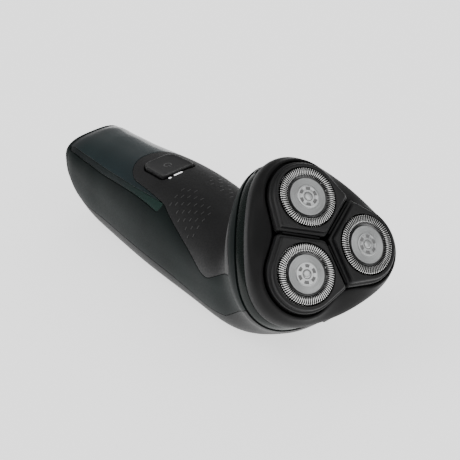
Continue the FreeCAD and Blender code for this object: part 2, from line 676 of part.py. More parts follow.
# ---------------------------------------------------------------- motor
motor_top = gear_plate_low
motor_base = motor_top - size("motor_length")
bearing = "shaft_radius+bearing_clearance"
can = turned_body("motor_can_shell", [
    ("motor_radius-motor_wall", "0"), ("motor_radius", "0"), ("motor_radius", "motor_length"),
    (bearing, "motor_length"), (bearing, "motor_length-motor_wall*2"),
    ("motor_radius-motor_wall", "motor_length-motor_wall*2"),
])
can_holes = []
for side in (-1, 1):
    place = moved(side * MOTOR_SCREW_OFFSET, 0, size("motor_length") - 2)
    can_holes.append(cylinder(f"motor_can_hole_{side}", "screw_radius", "motor_wall*4", place))
keep(cut("motor_can", can, fuse("motor_can_holes", can_holes)), "motor_can", HEAD * moved(0, 0, motor_base))
end_cap = turned_body("motor_end_cap", [
    (bearing, "0"), ("motor_radius-motor_wall-0.3", "0"),
    ("motor_radius-motor_wall", "motor_cap_height*0.3"), ("motor_radius-motor_wall", "motor_cap_height"),
    (bearing, "motor_cap_height"),
])
keep(end_cap, "motor_end_cap", HEAD * moved(0, 0, motor_base))
armature = turned_body("motor_armature", [
    ("shaft_radius", "0"), ("armature_radius", "0"), ("armature_radius", "armature_length"),
    ("shaft_radius", "armature_length"),
])
keep(armature, "motor_armature", HEAD * moved(0, 0, motor_base + size("motor_cap_height") + 2))
shaft = doc.addObject("Part::Cylinder", "motor_shaft")
bind(shaft, Radius="Sizes.shaft_radius", Height="Sizes.motor_length-0.4+Sizes.gear_plate_depth-18.9")
keep(shaft, "motor_shaft", HEAD * moved(0, 0, motor_base + 0.4))


def gear_wire(teeth, phase):
    """Outline of a spur gear with straight-flanked teeth; a tooth is centred at phase degrees."""
    module = size("gear_module")
    pitch = module * teeth / 2
    share = size("tooth_share")
    step = 2 * math.pi / teeth
    corners = []
    for tooth in range(teeth):
        centre = math.radians(phase) + tooth * step
        for radius, width in ((pitch - 1.2 * module, 1.5), (pitch, 1.0), (pitch + module, 0.5)):
            corners.append((radius, centre - share * width * step / 2))
        for radius, width in ((pitch + module, 0.5), (pitch, 1.0), (pitch - 1.2 * module, 1.5)):
            corners.append((radius, centre + share * width * step / 2))
    points = [Vector(radius * math.cos(angle), radius * math.sin(angle), 0) for radius, angle in corners]
    return Part.makePolygon(points + points[:1])


def spur_gear(teeth, phase, width, bore):
    blank = Part.Face(gear_wire(teeth, phase)).extrude(Vector(0, 0, width))
    return blank.cut(Part.makeCylinder(bore, width + 2, Vector(0, 0, -1)))


pinion_teeth, gear_teeth = int(size("pinion_teeth")), int(size("gear_teeth"))
pinion_step = 360.0 / pinion_teeth
solid_feature(
    "motor_pinion", spur_gear(pinion_teeth, 0.0, size("pinion_width"), size("shaft_radius")),
    HEAD * moved(0, 0, -size("gear_bottom_depth") - size("pinion_drop")),
)

# ---------------------------------------------------------------- three drive gears and spindles
for lobe, angle in LOBE_ANGLES.items():
    # The pinion tooth nearest the line of centres sits offset degrees past it; the gear's gap
    # takes it, so the gap is turned back by the same arc length.
    offset = round(angle / pinion_step) * pinion_step - angle
    gap = 180.0 - offset * pinion_teeth / gear_teeth
    gear = spur_gear(gear_teeth, gap + 180.0 / gear_teeth, size("gear_width"), size("spindle_radius"))
    hub_height = size("gear_hub_height")
    hub = Part.makeCylinder(size("gear_hub_radius"), hub_height, Vector(0, 0, -hub_height))
    hub = hub.cut(Part.makeCylinder(size("spindle_radius"), 4, Vector(0, 0, -2)))
    solid_feature(f"drive_gear_{lobe}", gear.fuse(hub), drive_frame(lobe, -size("gear_bottom_depth")))
    spindle = doc.addObject("Part::Cylinder", f"spindle_shaft_{lobe}")
    bind(spindle, Radius="Sizes.spindle_radius",
         Height="Sizes.spindle_bottom_depth-Sizes.spindle_tip_depth-Sizes.coupling_height")
    tip = doc.addObject("Part::Box", f"spindle_tip_{lobe}")
    bind(tip, Length="Sizes.coupling_width", Width="Sizes.coupling_width", Height="Sizes.coupling_height")
    half = size("coupling_width") / 2
    tip_bottom = size("spindle_bottom_depth") - size("spindle_tip_depth") - size("coupling_height")
    tip.Placement = moved(-half, -half, tip_bottom)
    whole = fuse(f"drive_spindle_{lobe}", [spindle, tip])
    keep(whole, f"drive_spindle_{lobe}", drive_frame(lobe, -size("spindle_bottom_depth")))

# ---------------------------------------------------------------- head housing on its hinge
housing_base, housing_rim = size("housing_base_depth"), size("housing_rim_depth")


def opening_radius(turn, grow=0.0):
    return trefoil(turn, size("opening_lobe_radius") + grow, size("opening_valley") + grow)


def housing_radius(depth, turn):
    """Outer radius of the housing: a rounded triangle that closes in to the scalloped rim."""
    belly = HOUSING_PROFILE[depth]
    triangle = rounded_triangle(turn, belly[0], belly[1])
    return triangle + (opening_radius(turn, size("rim_width")) - triangle) * belly[2]


# depth: lobe radius, side bulge, share of the scalloped rim's shape
HOUSING_PROFILE = {
    housing_base: (15.6, 0.5, 0.0), 13.4: (16.3, 1.0, 0.0), 11.0: (16.5, 1.3, 0.0),
    8.4: (16.0, 1.2, 0.0), 6.5: (15.5, 1.1, 0.45), housing_rim: (15.0, 1.0, 1.0),
}
housing_depths = list(HOUSING_PROFILE)


def housing_wire(shape_depth, depth, inset=0.0):
    """The housing's outline at one level of its profile, moved inward by inset."""
    return polar_wire(lambda turn: housing_radius(shape_depth, turn) - inset, depth)


outer_wires = [housing_wire(depth, depth) for depth in housing_depths]
inner_wires = [housing_wire(housing_base, housing_base + 1, size("housing_wall"))]
inner_wires += [housing_wire(depth, depth, size("housing_wall")) for depth in housing_depths[1:5]]
housing = Part.makeLoft(outer_wires, True, False, False, LOFT_DEGREE)
housing = housing.cut(Part.makeLoft(inner_wires, True, False, False, LOFT_DEGREE))
opening = Part.Face(polar_wire(opening_radius, housing_rim + 2.5)).extrude(HEAD_AXIS * 6)
housing = housing.cut(opening)
for side in (-1, 1):
    low, high = sorted((side * (middle_half + side_gap), side * reach))
    barrel = Part.makeCylinder(knuckle, high - low, head_point(low, hinge_along, hinge_depth), Y_AXIS)
    lug = head_box((low, high), (hinge_along - knuckle * 0.9, hinge_along + 1.2), (0, 2.6), hinge_depth)
    housing = housing.fuse(barrel.fuse(lug))
housing = housing.cut(head_cylinder(clearance_radius, middle_half + side_gap, hinge_along, hinge_depth))
pin_bore = size("hinge_pin_radius") + size("bearing_clearance")
housing = housing.cut(head_cylinder(pin_bore, reach + 1, hinge_along, hinge_depth))
solid_feature("head_housing", housing)

# ---------------------------------------------------------------- retaining frame under the pads
frame_top = size("frame_top_depth")
FRAME_LEVEL, FRAME_CLEARANCE = 8.4, 0.25  # the level of the housing that the frame fits, and its play
frame_inset = size("housing_wall") + FRAME_CLEARANCE
frame_bottom = frame_top + size("frame_thickness")
frame_wires = [housing_wire(FRAME_LEVEL, depth, frame_inset) for depth in (frame_bottom, frame_top)]
frame = Part.makeLoft(frame_wires, True)
EAR_INNER, EAR_OUTER, EAR_HALF, EAR_TOP = 12.3, 13.0, 1.3, 0.7
LUG_INNER, LUG_OUTER, LUG_HALF, LUG_BOTTOM = 11.45, 12.15, 1.2, 7.7


def unit_box(lobe, lengths, widths, heights):
    """A block in a shaving unit's frame, given as low and high along each of its axes."""
    shape = Part.makeBox(lengths[1] - lengths[0], widths[1] - widths[0], heights[1] - heights[0])
    shape.Placement = unit_frame(lobe) * moved(lengths[0], widths[0], heights[0])
    return shape


def pivot_cylinder(lobe, radius, start, end):
    """A cylinder on a pad's tilt axis."""
    shape = Part.makeCylinder(radius, end - start)
    along = Placement(Vector(0, start, -size("pivot_depth")), Rotation(Z_AXIS, Y_AXIS))
    shape.Placement = unit_frame(lobe) * along
    return shape


for lobe in LOBE_ANGLES:
    hole = Part.makeCylinder(size("frame_hole_radius"), 8)
    hole.Placement = unit_frame(lobe, -frame_top - 5)
    frame = frame.cut(hole)
for lobe in LOBE_ANGLES:
    for side in (-1, 1):
        low, high = sorted((side * EAR_INNER, side * EAR_OUTER))
        heights = (-frame_top - 0.5, -size("pivot_depth") + EAR_TOP)
        ear = unit_box(lobe, (-EAR_HALF, EAR_HALF), (low, high), heights)
        bore = size("pivot_pin_radius") + size("pivot_clearance")
        frame = frame.fuse(ear).cut(pivot_cylinder(lobe, bore, low - 0.5, high + 0.5))
RIB_START, RIB_END, RIB_ROOT = 2.4, 16.4, 0.3
for angle in LOBE_ANGLES.values():
    rib_height = frame_top - size("rib_top_depth") + RIB_ROOT
    rib = Part.makeBox(RIB_END - RIB_START, size("rib_thickness"), rib_height)
    rib_corner = moved(RIB_START, -size("rib_thickness") / 2, -frame_top - RIB_ROOT)
    rib.Placement = HEAD * turned(Z_AXIS, angle + 60) * rib_corner
    frame = frame.fuse(rib)
solid_feature("retaining_frame", frame)

# ---------------------------------------------------------------- floating pads
def pad_wire(inset):
    """A pad's outline in its unit frame: round outside, with two straight edges along the gaps."""
    offset, radius = size("lobe_offset"), size("pad_lobe_radius") - inset
    valley = size("pad_valley") - inset
    across, along = valley / 2 - offset, valley * math.sqrt(3) / 2
    flank = math.atan2(along, across) - math.acos(radius / math.hypot(across, along))
    gap = size("pad_gap") / 2 + inset
    # corner where the flank line meets the edge beside the gap
    a1, b1, c1 = math.cos(flank), math.sin(flank), offset * math.cos(flank) + radius
    a2, b2, c2 = math.sin(math.pi / 3), -math.cos(math.pi / 3), gap
    scale = a1 * b2 - a2 * b1
    corner = Vector((c1 * b2 - c2 * b1) / scale - offset, (a1 * c2 - a2 * c1) / scale, 0)
    inner = Vector(gap / math.sin(math.pi / 3) - offset, 0, 0)
    touch = Vector(radius * math.cos(flank), radius * math.sin(flank), 0)
    mirror = [Vector(point.x, -point.y, 0) for point in (corner, touch)]
    return Part.Wire([
        Part.makeLine(inner, corner), Part.makeLine(corner, touch),
        Part.Arc(touch, Vector(radius, 0, 0), mirror[1]).toShape(),
        Part.makeLine(mirror[1], mirror[0]), Part.makeLine(mirror[0], inner),
    ])


def pad_slab(inset, bottom, top):
    face = Part.Face(pad_wire(inset))
    face.translate(Vector(0, 0, bottom))
    return face.extrude(Vector(0, 0, top - bottom))


for lobe in LOBE_ANGLES:
    body = pad_slab(0, -size("pad_bottom"), -size("pad_step_depth"))
    body = body.fuse(pad_slab(size("pad_step_inset"), -size("pad_step_depth") - 0.1, -size("pad_top")))
    body = body.cut(Part.makeCylinder(size("pad_hole_radius"), 12, Vector(0, 0, -9)))
    pins = []
    for side in (-1, 1):
        low, high = sorted((side * LUG_INNER, side * LUG_OUTER))
        lug = Part.makeBox(2 * LUG_HALF, high - low, LUG_BOTTOM - size("pad_bottom") + 0.1)
        lug.translate(Vector(-LUG_HALF, low, -LUG_BOTTOM))
        pin_low, pin_high = sorted((side * LUG_INNER, side * (EAR_OUTER - 0.05)))
        pin = Part.makeCylinder(
            size("pivot_pin_radius"), pin_high - pin_low, Vector(0, pin_low, -size("pivot_depth")), Y_AXIS
        )
        body = body.fuse(lug).cut(pin)
        pins.append(pin)
    solid_feature(f"shaving_pad_{lobe}", body, unit_frame(lobe))
    solid_feature(f"pad_pivot_pins_{lobe}", Part.makeCompound(pins), unit_frame(lobe))

# ---------------------------------------------------------------- guards, inserts and cutters
CUTTER_DISC = "hub_bottom_depth-guard_skin-cutter_gap-blade_height-cutter_disc_height"
CUTTER_DISC_TOP = "hub_bottom_depth-guard_skin-cutter_gap-blade_height"
for lobe in LOBE_ANGLES:
    guard = turned_body(f"guard_{lobe}", [
        ("guard_radius-guard_wall", "0"), ("guard_flange_radius", "0"),
        ("guard_flange_radius", "guard_flange_height"), ("guard_radius", "guard_flange_height"),
        ("guard_radius", "guard_height-0.4"), ("track_radius", "guard_height"),
        ("disc_radius+0.5", "guard_height"), ("disc_radius", "guard_height-disc_recess"),
        ("0", "guard_height-disc_recess"), ("0", "guard_height-disc_recess-guard_skin"),
        ("disc_radius+0.1", "guard_height-disc_recess-guard_skin"),
        ("disc_radius+0.5", "guard_height-guard_skin"),
        ("guard_radius-guard_wall", "guard_height-guard_skin"),
    ])
    keep(guard, f"guard_{lobe}", unit_frame(lobe, -size("guard_height")))
    insert = turned_body(f"guard_insert_{lobe}", [
        ("0", "0"), ("insert_radius", "0"), ("insert_radius", "insert_height*0.6"),
        ("insert_radius*0.95", "insert_height"), ("0", "insert_height"),
    ])
    keep(insert, f"guard_insert_{lobe}", unit_frame(lobe, -size("disc_recess")))

    cutter = turned_body(f"cutter_{lobe}", [
        ("0", "0"), ("hub_radius", "0"), ("hub_radius", CUTTER_DISC),
        ("cutter_radius", CUTTER_DISC), ("cutter_radius", CUTTER_DISC_TOP), ("0", CUTTER_DISC_TOP),
    ])
    blade_base = f"({CUTTER_DISC_TOP}-0.1)"
    blade_points = [
        ("cutter_radius-blade_length", "-blade_thickness/2"),
        ("cutter_radius-0.05", "-blade_thickness/2"), ("cutter_radius-0.05", "blade_thickness/2"),
        ("cutter_radius-blade_length", "blade_thickness/2"),
    ]
    named = [(sheet_names(across), sheet_names(up)) for across, up in blade_points]
    blade_sketch = new_sketch(cutter, f"cutter_{lobe}_blade", "XY_Plane", named)
    blade_sketch.setExpression("AttachmentOffset.Base.z", sheet_names(blade_base))
    blade = cutter.newObject("PartDesign::Pad", f"cutter_{lobe}_blade_pad")
    blade.Profile = blade_sketch
    blade.setExpression("Length", sheet_names("blade_height+0.1"))
    cutter.Tip = blade
    doc.recompute()
    ring_of_blades = cutter.newObject("PartDesign::PolarPattern", f"cutter_{lobe}_blades")
    ring_of_blades.Originals = [blade]
    ring_of_blades.Axis = (blade_sketch, ["N_Axis"])
    ring_of_blades.Angle = 360
    ring_of_blades.setExpression("Occurrences", "Sizes.blade_count")
    cutter.Tip = ring_of_blades
    pocket(cutter, f"cutter_{lobe}_socket", rectangle("socket_width", "socket_width"), "socket_height", True)
    keep(cutter, f"cutter_{lobe}", unit_frame(lobe, -size("hub_bottom_depth")))

# ---------------------------------------------------------------- power button and its lights
FLANGE_TOP, FLANGE_BOTTOM, STEM_BOTTOM, FLANGE_GROW = -4.0, -4.6, -4.9, 0.9


def button_slab(grow, bottom, top):
    face = Part.Face(button_wire(grow))
    face.translate(Vector(0, 0, bottom))
    return face.extrude(Vector(0, 0, top - bottom))


cap = button_slab(0, FLANGE_TOP - 0.1, size("button_proud"))
top_edges = [edge for edge in cap.Edges if edge.BoundBox.ZMin > size("button_proud") - 0.01]
cap = cap.makeFillet(size("button_rim"), top_edges)
cap = cap.fuse(button_slab(FLANGE_GROW, FLANGE_BOTTOM, FLANGE_TOP))
stem_length = FLANGE_BOTTOM - STEM_BOTTOM + 0.1
cap = cap.fuse(Part.makeCylinder(size("button_stem_radius"), stem_length, Vector(0, 0, STEM_BOTTOM)))
solid_feature("power_button", cap, button_frame())
solid_feature("light_guide", Part.makeCompound(light_bars))

# ---------------------------------------------------------------- chassis, battery and board
tray = box("tray_block", "chassis_length", "chassis_half_width*2", "board_z-chassis_z",
           moved(size("chassis_x"), -size("chassis_half_width"), size("chassis_z")))
tray_wall = size("chassis_wall")
hollow = box(
    "tray_hollow", "chassis_length-chassis_wall*2", "(chassis_half_width-chassis_wall)*2", "board_z",
    tray.Placement * moved(tray_wall, tray_wall, tray_wall),
)
boss_bottom = size("boss_bottom")
bosses = [
    cylinder(f"tray_boss_{index}", "boss_radius", "chassis_z-boss_bottom+0.2", moved(x, side, boss_bottom))
    for index, (x, side) in enumerate(screw_places, start=1)
]
screw_bores = [
    cylinder(f"tray_bore_{index}", "screw_radius", "8", moved(x, side, 1))
    for index, (x, side) in enumerate(screw_places, start=1)
]
tray_shell = cut("tray_shell", tray, hollow)
tray_solid = fuse("tray_with_bosses", [tray_shell] + bosses)
keep(cut("chassis", tray_solid, fuse("tray_bores", screw_bores)), "chassis")

along_x = Rotation(Z_AXIS, X_AXIS)
keep(cylinder("battery", "battery_radius", "battery_length"), "battery",
     Placement(Vector(size("battery_x"), 0, size("battery_z")), along_x))
contacts = []
contact_half = size("contact_size") / 2
contact_places = (size("battery_x") - size("contact_thickness"), size("battery_x") + size("battery_length"))
for index, x in enumerate(contact_places, start=1):
    place = moved(x, -contact_half, size("battery_z") - contact_half)
    contacts.append(box(f"contact_{index}", "contact_thickness", "contact_size", "contact_size", place))
battery_contacts = doc.addObject("Part::Compound", "battery_contacts")
battery_contacts.Links = contacts
keep(battery_contacts, "battery_contacts")
keep(box("circuit_board", "board_length", "board_width", "board_thickness"), "circuit_board",
     moved(size("board_x"), -size("board_width") / 2, size("board_z")))
SWITCH_X = -26.0
switch_z = size("board_z") + size("board_thickness")
switch_body = box("switch_body", "switch_size", "switch_size", "switch_height",
                  moved(SWITCH_X - size("switch_size") / 2, -size("switch_size") / 2, switch_z))
plunger_place = moved(SWITCH_X, 0, switch_z + size("switch_height") - 0.1)
plunger = cylinder("switch_plunger", "plunger_radius", "plunger_height+0.1", plunger_place)
keep(fuse("push_switch", [switch_body, plunger]), "push_switch")

# ---------------------------------------------------------------- charging socket
socket_block = box(
    "inlet_block", "inlet_depth+inlet_base", "inlet_width+inlet_wall*2", "inlet_height+inlet_wall*2",
    moved(size("socket_x"), -inlet_block_width / 2, inlet_block_bottom),
)
socket_hollow = box(
    "inlet_hollow", "inlet_depth+1", "inlet_width", "inlet_height",
    moved(size("socket_x") - 1, -size("inlet_width") / 2, size("socket_z") - size("inlet_height") / 2),
)
pin_start = size("socket_x") + size("inlet_depth") - size("inlet_pin_length")
pin_bores, inlet_pins = [], []
for side in (-1, 1):
    place = Placement(Vector(pin_start, side * size("inlet_pin_spacing") / 2, size("socket_z")), along_x)
    radius, length = "inlet_pin_radius", "inlet_pin_length+inlet_base"
    pin_bores.append(cylinder(f"inlet_bore_{side}", radius, f"{length}+1", place))
    inlet_pins.append(cylinder(f"inlet_pin_{side}", radius, length, place))
keep(cut("charge_socket", socket_block, fuse("inlet_space", [socket_hollow] + pin_bores)), "charge_socket")
socket_pins = doc.addObject("Part::Compound", "socket_pins")
socket_pins.Links = inlet_pins
keep(socket_pins, "socket_pins")

# ---------------------------------------------------------------- screws
def screw_shape(length, place):
    """A pan-head screw pointing along its frame's -Z, its head's underside at the frame's origin."""
    head = Part.makeCylinder(size("screw_head_radius"), size("screw_head_height"))
    shape = head.fuse(Part.makeCylinder(size("screw_radius"), length, Vector(0, 0, -length)))
    shape.Placement = place
    return shape


case_screws = [
    screw_shape(size("case_screw_length"), Placement(Vector(x, side, head_recess), Rotation(X_AXIS, 180)))
    for x, side in screw_places
]
solid_feature("case_screws", Part.makeCompound(case_screws))
deck_screws = [
    screw_shape(size("small_screw_length"), deck_screw_frame(angle, -size("deck_top_depth")))
    for angle in DECK_SCREW_ANGLES
]
solid_feature("deck_screws", Part.makeCompound(deck_screws))
motor_screw_place = moved(MOTOR_SCREW_OFFSET, 0, gear_plate_low + size("gear_plate_thickness"))
motor_screws = [
    screw_shape(size("small_screw_length") - 0.2, HEAD * turned(Z_AXIS, angle) * motor_screw_place)
    for angle in MOTOR_SCREW_ANGLES
]
solid_feature("motor_screws", Part.makeCompound(motor_screws))

# ---------------------------------------------------------------- check and export
doc.recompute()
for obj in doc.Objects:
    if "Invalid" in obj.State or "Error" in obj.State:
        raise SystemExit(f"{obj.Name} failed to recompute: {obj.State}")
os.makedirs("parts", exist_ok=True)
for node in nodes:
    shape = node.Shape
    if shape.isNull() or not shape.isValid() or not shape.Solids:
        raise SystemExit(f"{node.Label} has no valid solid")
    shape.exportStep(f"parts/{node.Label}.step")
    print(f"{node.Label}: {len(shape.Solids)} solid(s), {shape.Volume:.1f} mm3")
print(len(nodes), "sub-parts")
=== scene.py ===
"""Rotary electric shaver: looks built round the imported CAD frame, in metres.

+X runs from the tail to the shaving head, +Y across, +Z out of the front. Helper functions work in
millimetres, and build() turns their points into metres. The handle's skin is one smooth surface with
two coordinates: s, millimetres along the handle from its tail, and t, degrees round it (90 is the front).
"""
import itertools
import math

import bpy
import numpy as np
from mathutils import Matrix, Vector
from mathutils.geometry import delaunay_2d_cdt


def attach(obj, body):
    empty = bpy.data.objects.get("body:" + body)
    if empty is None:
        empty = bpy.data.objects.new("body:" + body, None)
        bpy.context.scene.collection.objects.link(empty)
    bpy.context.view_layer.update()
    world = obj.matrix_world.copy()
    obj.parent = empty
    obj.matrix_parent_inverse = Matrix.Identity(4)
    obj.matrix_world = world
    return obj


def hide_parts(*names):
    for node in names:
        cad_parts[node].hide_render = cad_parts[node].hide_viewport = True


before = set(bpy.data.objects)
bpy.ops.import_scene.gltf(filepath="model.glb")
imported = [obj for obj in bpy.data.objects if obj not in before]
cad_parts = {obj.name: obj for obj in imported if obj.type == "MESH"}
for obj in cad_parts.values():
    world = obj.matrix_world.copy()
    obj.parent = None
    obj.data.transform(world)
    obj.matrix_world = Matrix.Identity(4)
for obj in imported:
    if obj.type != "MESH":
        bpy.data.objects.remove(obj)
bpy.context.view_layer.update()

MM = 0.001

# ---------------------------------------------------------------- layout, in millimetres
HEAD_CENTRE = np.array([66.5, 0.0, 54.0])
TILT = math.radians(40.0)
HEAD_AXIS = np.array([math.cos(TILT), 0.0, math.sin(TILT)])
ACROSS = np.array([0.0, 1.0, 0.0])
HEAD_UP = np.array([-math.sin(TILT), 0.0, math.cos(TILT)])
LOBE_OFFSET = 15.6
UNIT_TILT = math.radians(5.5)
LOBES = {1: 90.0, 2: 210.0, 3: 330.0}
COLLAR_DEPTH, COLLAR_TOP = 20.0, 15.6
HOUSING_BASE, HOUSING_RIM = 15.3, 5.2

# Cross-sections of the handle, from tail to collar: x, z, lean, half width, height in front of and
# behind the centre, squareness of both halves, and the share of the collar's rounded triangle.
SECTIONS = [
    (-79.8, 24.8, 0, 11.6, 6.0, 8.8, 3.0, 3.0, 0), (-78.8, 24.6, 0, 13.0, 7.7, 12.0, 3.0, 3.0, 0),
    (-77.2, 24.2, 0, 13.8, 8.7, 14.2, 2.9, 3.0, 0), (-75.4, 23.8, 0, 14.3, 9.6, 16.0, 2.8, 3.0, 0),
    (-70.5, 22.9, 0, 15.0, 11.4, 18.9, 2.7, 3.0, 0), (-65.5, 22.0, 0, 15.4, 13.0, 20.2, 2.6, 3.0, 0),
    (-60.0, 21.5, 0, 15.8, 14.2, 21.0, 2.6, 3.0, 0), (-54.0, 21.0, 0, 16.1, 15.4, 21.1, 2.6, 3.0, 0),
    (-43.5, 20.5, 0, 17.0, 17.4, 20.8, 2.6, 3.0, 0), (-23.5, 20.0, 0, 18.6, 20.6, 20.3, 2.6, 3.0, 0),
    (-3.5, 20.0, 0, 19.2, 21.0, 20.3, 2.5, 3.0, 0), (12.5, 20.5, 8, 19.9, 18.5, 21.2, 2.4, 2.9, 0),
    (26.5, 23.5, 22, 21.2, 15.5, 24.5, 2.3, 2.7, 0), (40.85, 28.56, 40, 22.4, 18.5, 22.4, 2.2, 2.5, 0.1),
    (44.93, 34.59, 40, 24.8, 22.5, 24.8, 2.2, 2.4, 0.4), (48.5, 38.89, 40, 27.5, 28.0, 26.2, 2.1, 2.3, 0.8),
]
COLLAR_LOBE, COLLAR_BULGE = 16.4, 1.2

SIDE_VIEW = np.array([[1.0, 0, 0], [0, 0, 1.0]])
TOP_VIEW = np.array([[1.0, 0, 0], [0, 1.0, 0]])
ROUND_SCALE = 0.33  # millimetres of skin for one degree of t, near enough for triangulating


def head_point(across, up, depth):
    """Points in the head's frame; depth is measured behind the cutting plane."""
    across, up, depth = np.broadcast_arrays(across, up, depth)
    sideways, upward = np.multiply.outer(across, ACROSS), np.multiply.outer(up, HEAD_UP)
    return HEAD_CENTRE + sideways + upward - np.multiply.outer(depth, HEAD_AXIS)


def rounded_triangle(turn, lobe_radius, bulge):
    """Radius of a smooth three-lobed outline; bulge fills out the sides between the lobes."""
    lobe = LOBE_OFFSET + lobe_radius
    side = LOBE_OFFSET / 2 + lobe_radius + bulge
    ripple = 0.34
    return (lobe + side) / 2 - ripple + (lobe - side) / 2 * np.cos(3 * turn) + ripple * np.cos(6 * turn)


def flank_direction(lobe_radius, valley_radius):
    """Which way a lobe's straight flank faces, from the line through the lobe."""
    across, along = valley_radius / 2 - LOBE_OFFSET, valley_radius * math.sqrt(3) / 2
    return math.atan2(along, across) - math.acos(lobe_radius / math.hypot(across, along))


def soft_highest(values, softness):
    """The highest of several rows, with the change from one to the next rounded off."""
    best = values.max(0)
    return best + softness * np.log(np.exp((values - best) / softness).sum(0))


def trefoil(turn, lobe_radius, valley_radius, softness=0.9):
    """Radius of three round lobes joined by straight flanks that meet in shallow rounded valleys."""
    folded = np.abs((turn + math.pi / 3) % (2 * math.pi / 3) - math.pi / 3)
    flank = flank_direction(lobe_radius, valley_radius - softness * math.log(2))
    touch = math.atan2(lobe_radius * math.sin(flank), LOBE_OFFSET + lobe_radius * math.cos(flank))
    reach = LOBE_OFFSET * math.cos(flank) + lobe_radius
    straight = [reach / np.cos(folded - flank), reach / np.cos(2 * math.pi / 3 - folded - flank)]
    inside = np.maximum(lobe_radius**2 - (LOBE_OFFSET * np.sin(folded)) ** 2, 0)
    lobe = LOBE_OFFSET * np.cos(folded) + np.sqrt(inside)
    return soft_highest(np.array([np.where(folded > touch, straight[0], lobe), straight[1]]), softness)


def spline_weights(knots, at):
    """Rows of weights that blend values at the knots into a natural cubic spline's values."""
    count = len(knots)
    gap = np.diff(knots)
    system, right = np.eye(count), np.zeros((count, count))
    for i in range(1, count - 1):
        system[i, i - 1:i + 2] = gap[i - 1], 2 * (gap[i - 1] + gap[i]), gap[i]
        right[i, i - 1:i + 2] = 6 / gap[i - 1], -6 / gap[i - 1] - 6 / gap[i], 6 / gap[i]
    curve = np.linalg.solve(system, right)
    at = np.clip(np.asarray(at, float), knots[0], knots[-1])
    left = np.clip(np.searchsorted(knots, at, side="right") - 1, 0, count - 2)
    span = gap[left]
    b = (at - knots[left]) / span
    a = 1 - b
    rows = np.zeros((len(at), count))
    place = np.arange(len(at))
    rows[place, left] += a
    rows[place, left + 1] += b
    bend_left = ((a**3 - a) * span**2 / 6)[:, None]
    bend_right = ((b**3 - b) * span**2 / 6)[:, None]
    return rows + bend_left * curve[left] + bend_right * curve[left + 1]


# ---------------------------------------------------------------- the handle's surface
def section_points(t):
    """Points of every cross-section at the angles t, as (section, angle, xyz)."""
    turn = np.radians(t)
    across, up = np.cos(turn), np.sin(turn)
    out = []
    for x, z, lean, half, front, back, square_front, square_back, triangle in SECTIONS:
        square = np.where(up >= 0, square_front, square_back)
        height = np.where(up >= 0, front, back)
        oval = (np.abs(across / half) ** square + np.abs(up / height) ** square) ** (-1 / square)
        corner = rounded_triangle(turn - math.pi / 2, COLLAR_LOBE, COLLAR_BULGE)
        radius = oval + (corner - oval) * triangle
        rise = radius * up
        lean = math.radians(lean)
        out.append(np.stack([x - rise * math.sin(lean), radius * across, z + rise * math.cos(lean)], -1))
    radius = rounded_triangle(turn - math.pi / 2, COLLAR_LOBE, COLLAR_BULGE)
    out.append(head_point(radius * across, radius * up, COLLAR_DEPTH))
    return np.array(out)


COLLAR_CENTRE = (HEAD_CENTRE - COLLAR_DEPTH * HEAD_AXIS)[[0, 2]]
CENTRES = np.array([row[:2] for row in SECTIONS] + [tuple(COLLAR_CENTRE)])
KNOTS = np.concatenate([[0], np.cumsum(np.hypot(*np.diff(CENTRES, axis=0).T))])
LENGTH = KNOTS[-1]
END_DEPTH = 12.0  # how far below zero s runs on the flat tail end, at its centre
TAIL_CENTRE = np.array([SECTIONS[0][0], 0, SECTIONS[0][1]])


def skin(s, t):
    """Points of the handle's outer surface. Below s = 0 they close in over the tail's end."""
    s, t = np.asarray(s, float), np.asarray(t, float)
    points = np.einsum("ni,inc->nc", spline_weights(KNOTS, np.maximum(s, 0)), section_points(t))
    share = np.clip(1 + np.minimum(s, 0) / END_DEPTH, 0, 1)[:, None]
    points = TAIL_CENTRE + (points - TAIL_CENTRE) * share
    points[:, 2] = np.maximum(points[:, 2], 0)
    return points


def skin_normals(s, t):
    """Unit outward normals of the handle's skin."""
    step = 0.05
    s = np.maximum(s, -END_DEPTH + 4 * step)
    along = skin(np.minimum(s + step, LENGTH), t) - skin(s - step, t)
    round_ = skin(s, t + 0.2) - skin(s, t - 0.2)
    normal = np.cross(round_, along)
    return normal / np.maximum(np.linalg.norm(normal, axis=1), 1e-9)[:, None]


def locate(points, view, low, high):
    """The (s, t) of the skin's points seen at 2-D points of a view, searched between two angles."""
    grid_s, grid_t = np.meshgrid(np.linspace(0, LENGTH, 220), np.linspace(low, high, 121), indexing="ij")
    grid_s, grid_t = grid_s.ravel(), grid_t.ravel()
    seen = skin(grid_s, grid_t) @ view.T
    points = np.asarray(points, float)
    nearest = [np.argmin(((seen - point) ** 2).sum(1)) for point in points]
    s, t = grid_s[nearest], grid_t[nearest]
    for _ in range(8):
        here = skin(s, t) @ view.T
        by_s = (skin(s + 0.01, t) @ view.T - here) / 0.01
        by_t = (skin(s, t + 0.01) @ view.T - here) / 0.01
        off = points - here
        scale = by_s[:, 0] * by_t[:, 1] - by_s[:, 1] * by_t[:, 0]
        scale = np.where(np.abs(scale) < 1e-6, 1e-6, scale)
        s = s + np.clip((off[:, 0] * by_t[:, 1] - off[:, 1] * by_t[:, 0]) / scale, -2, 2)
        t = t + np.clip((by_s[:, 0] * off[:, 1] - by_s[:, 1] * off[:, 0]) / scale, -4, 4)
        s, t = np.clip(s, 0.001, LENGTH - 0.001), np.clip(t, low, high)
    return np.stack([s, t], -1)


def on_end(reach, t):
    """The (s, t) of places on the tail's flat end, from how far they lie from its centre."""
    rim = np.linalg.norm(skin(np.zeros(len(t)), t) - TAIL_CENTRE, axis=1)
    return np.stack([(reach / rim - 1) * END_DEPTH, t], -1)


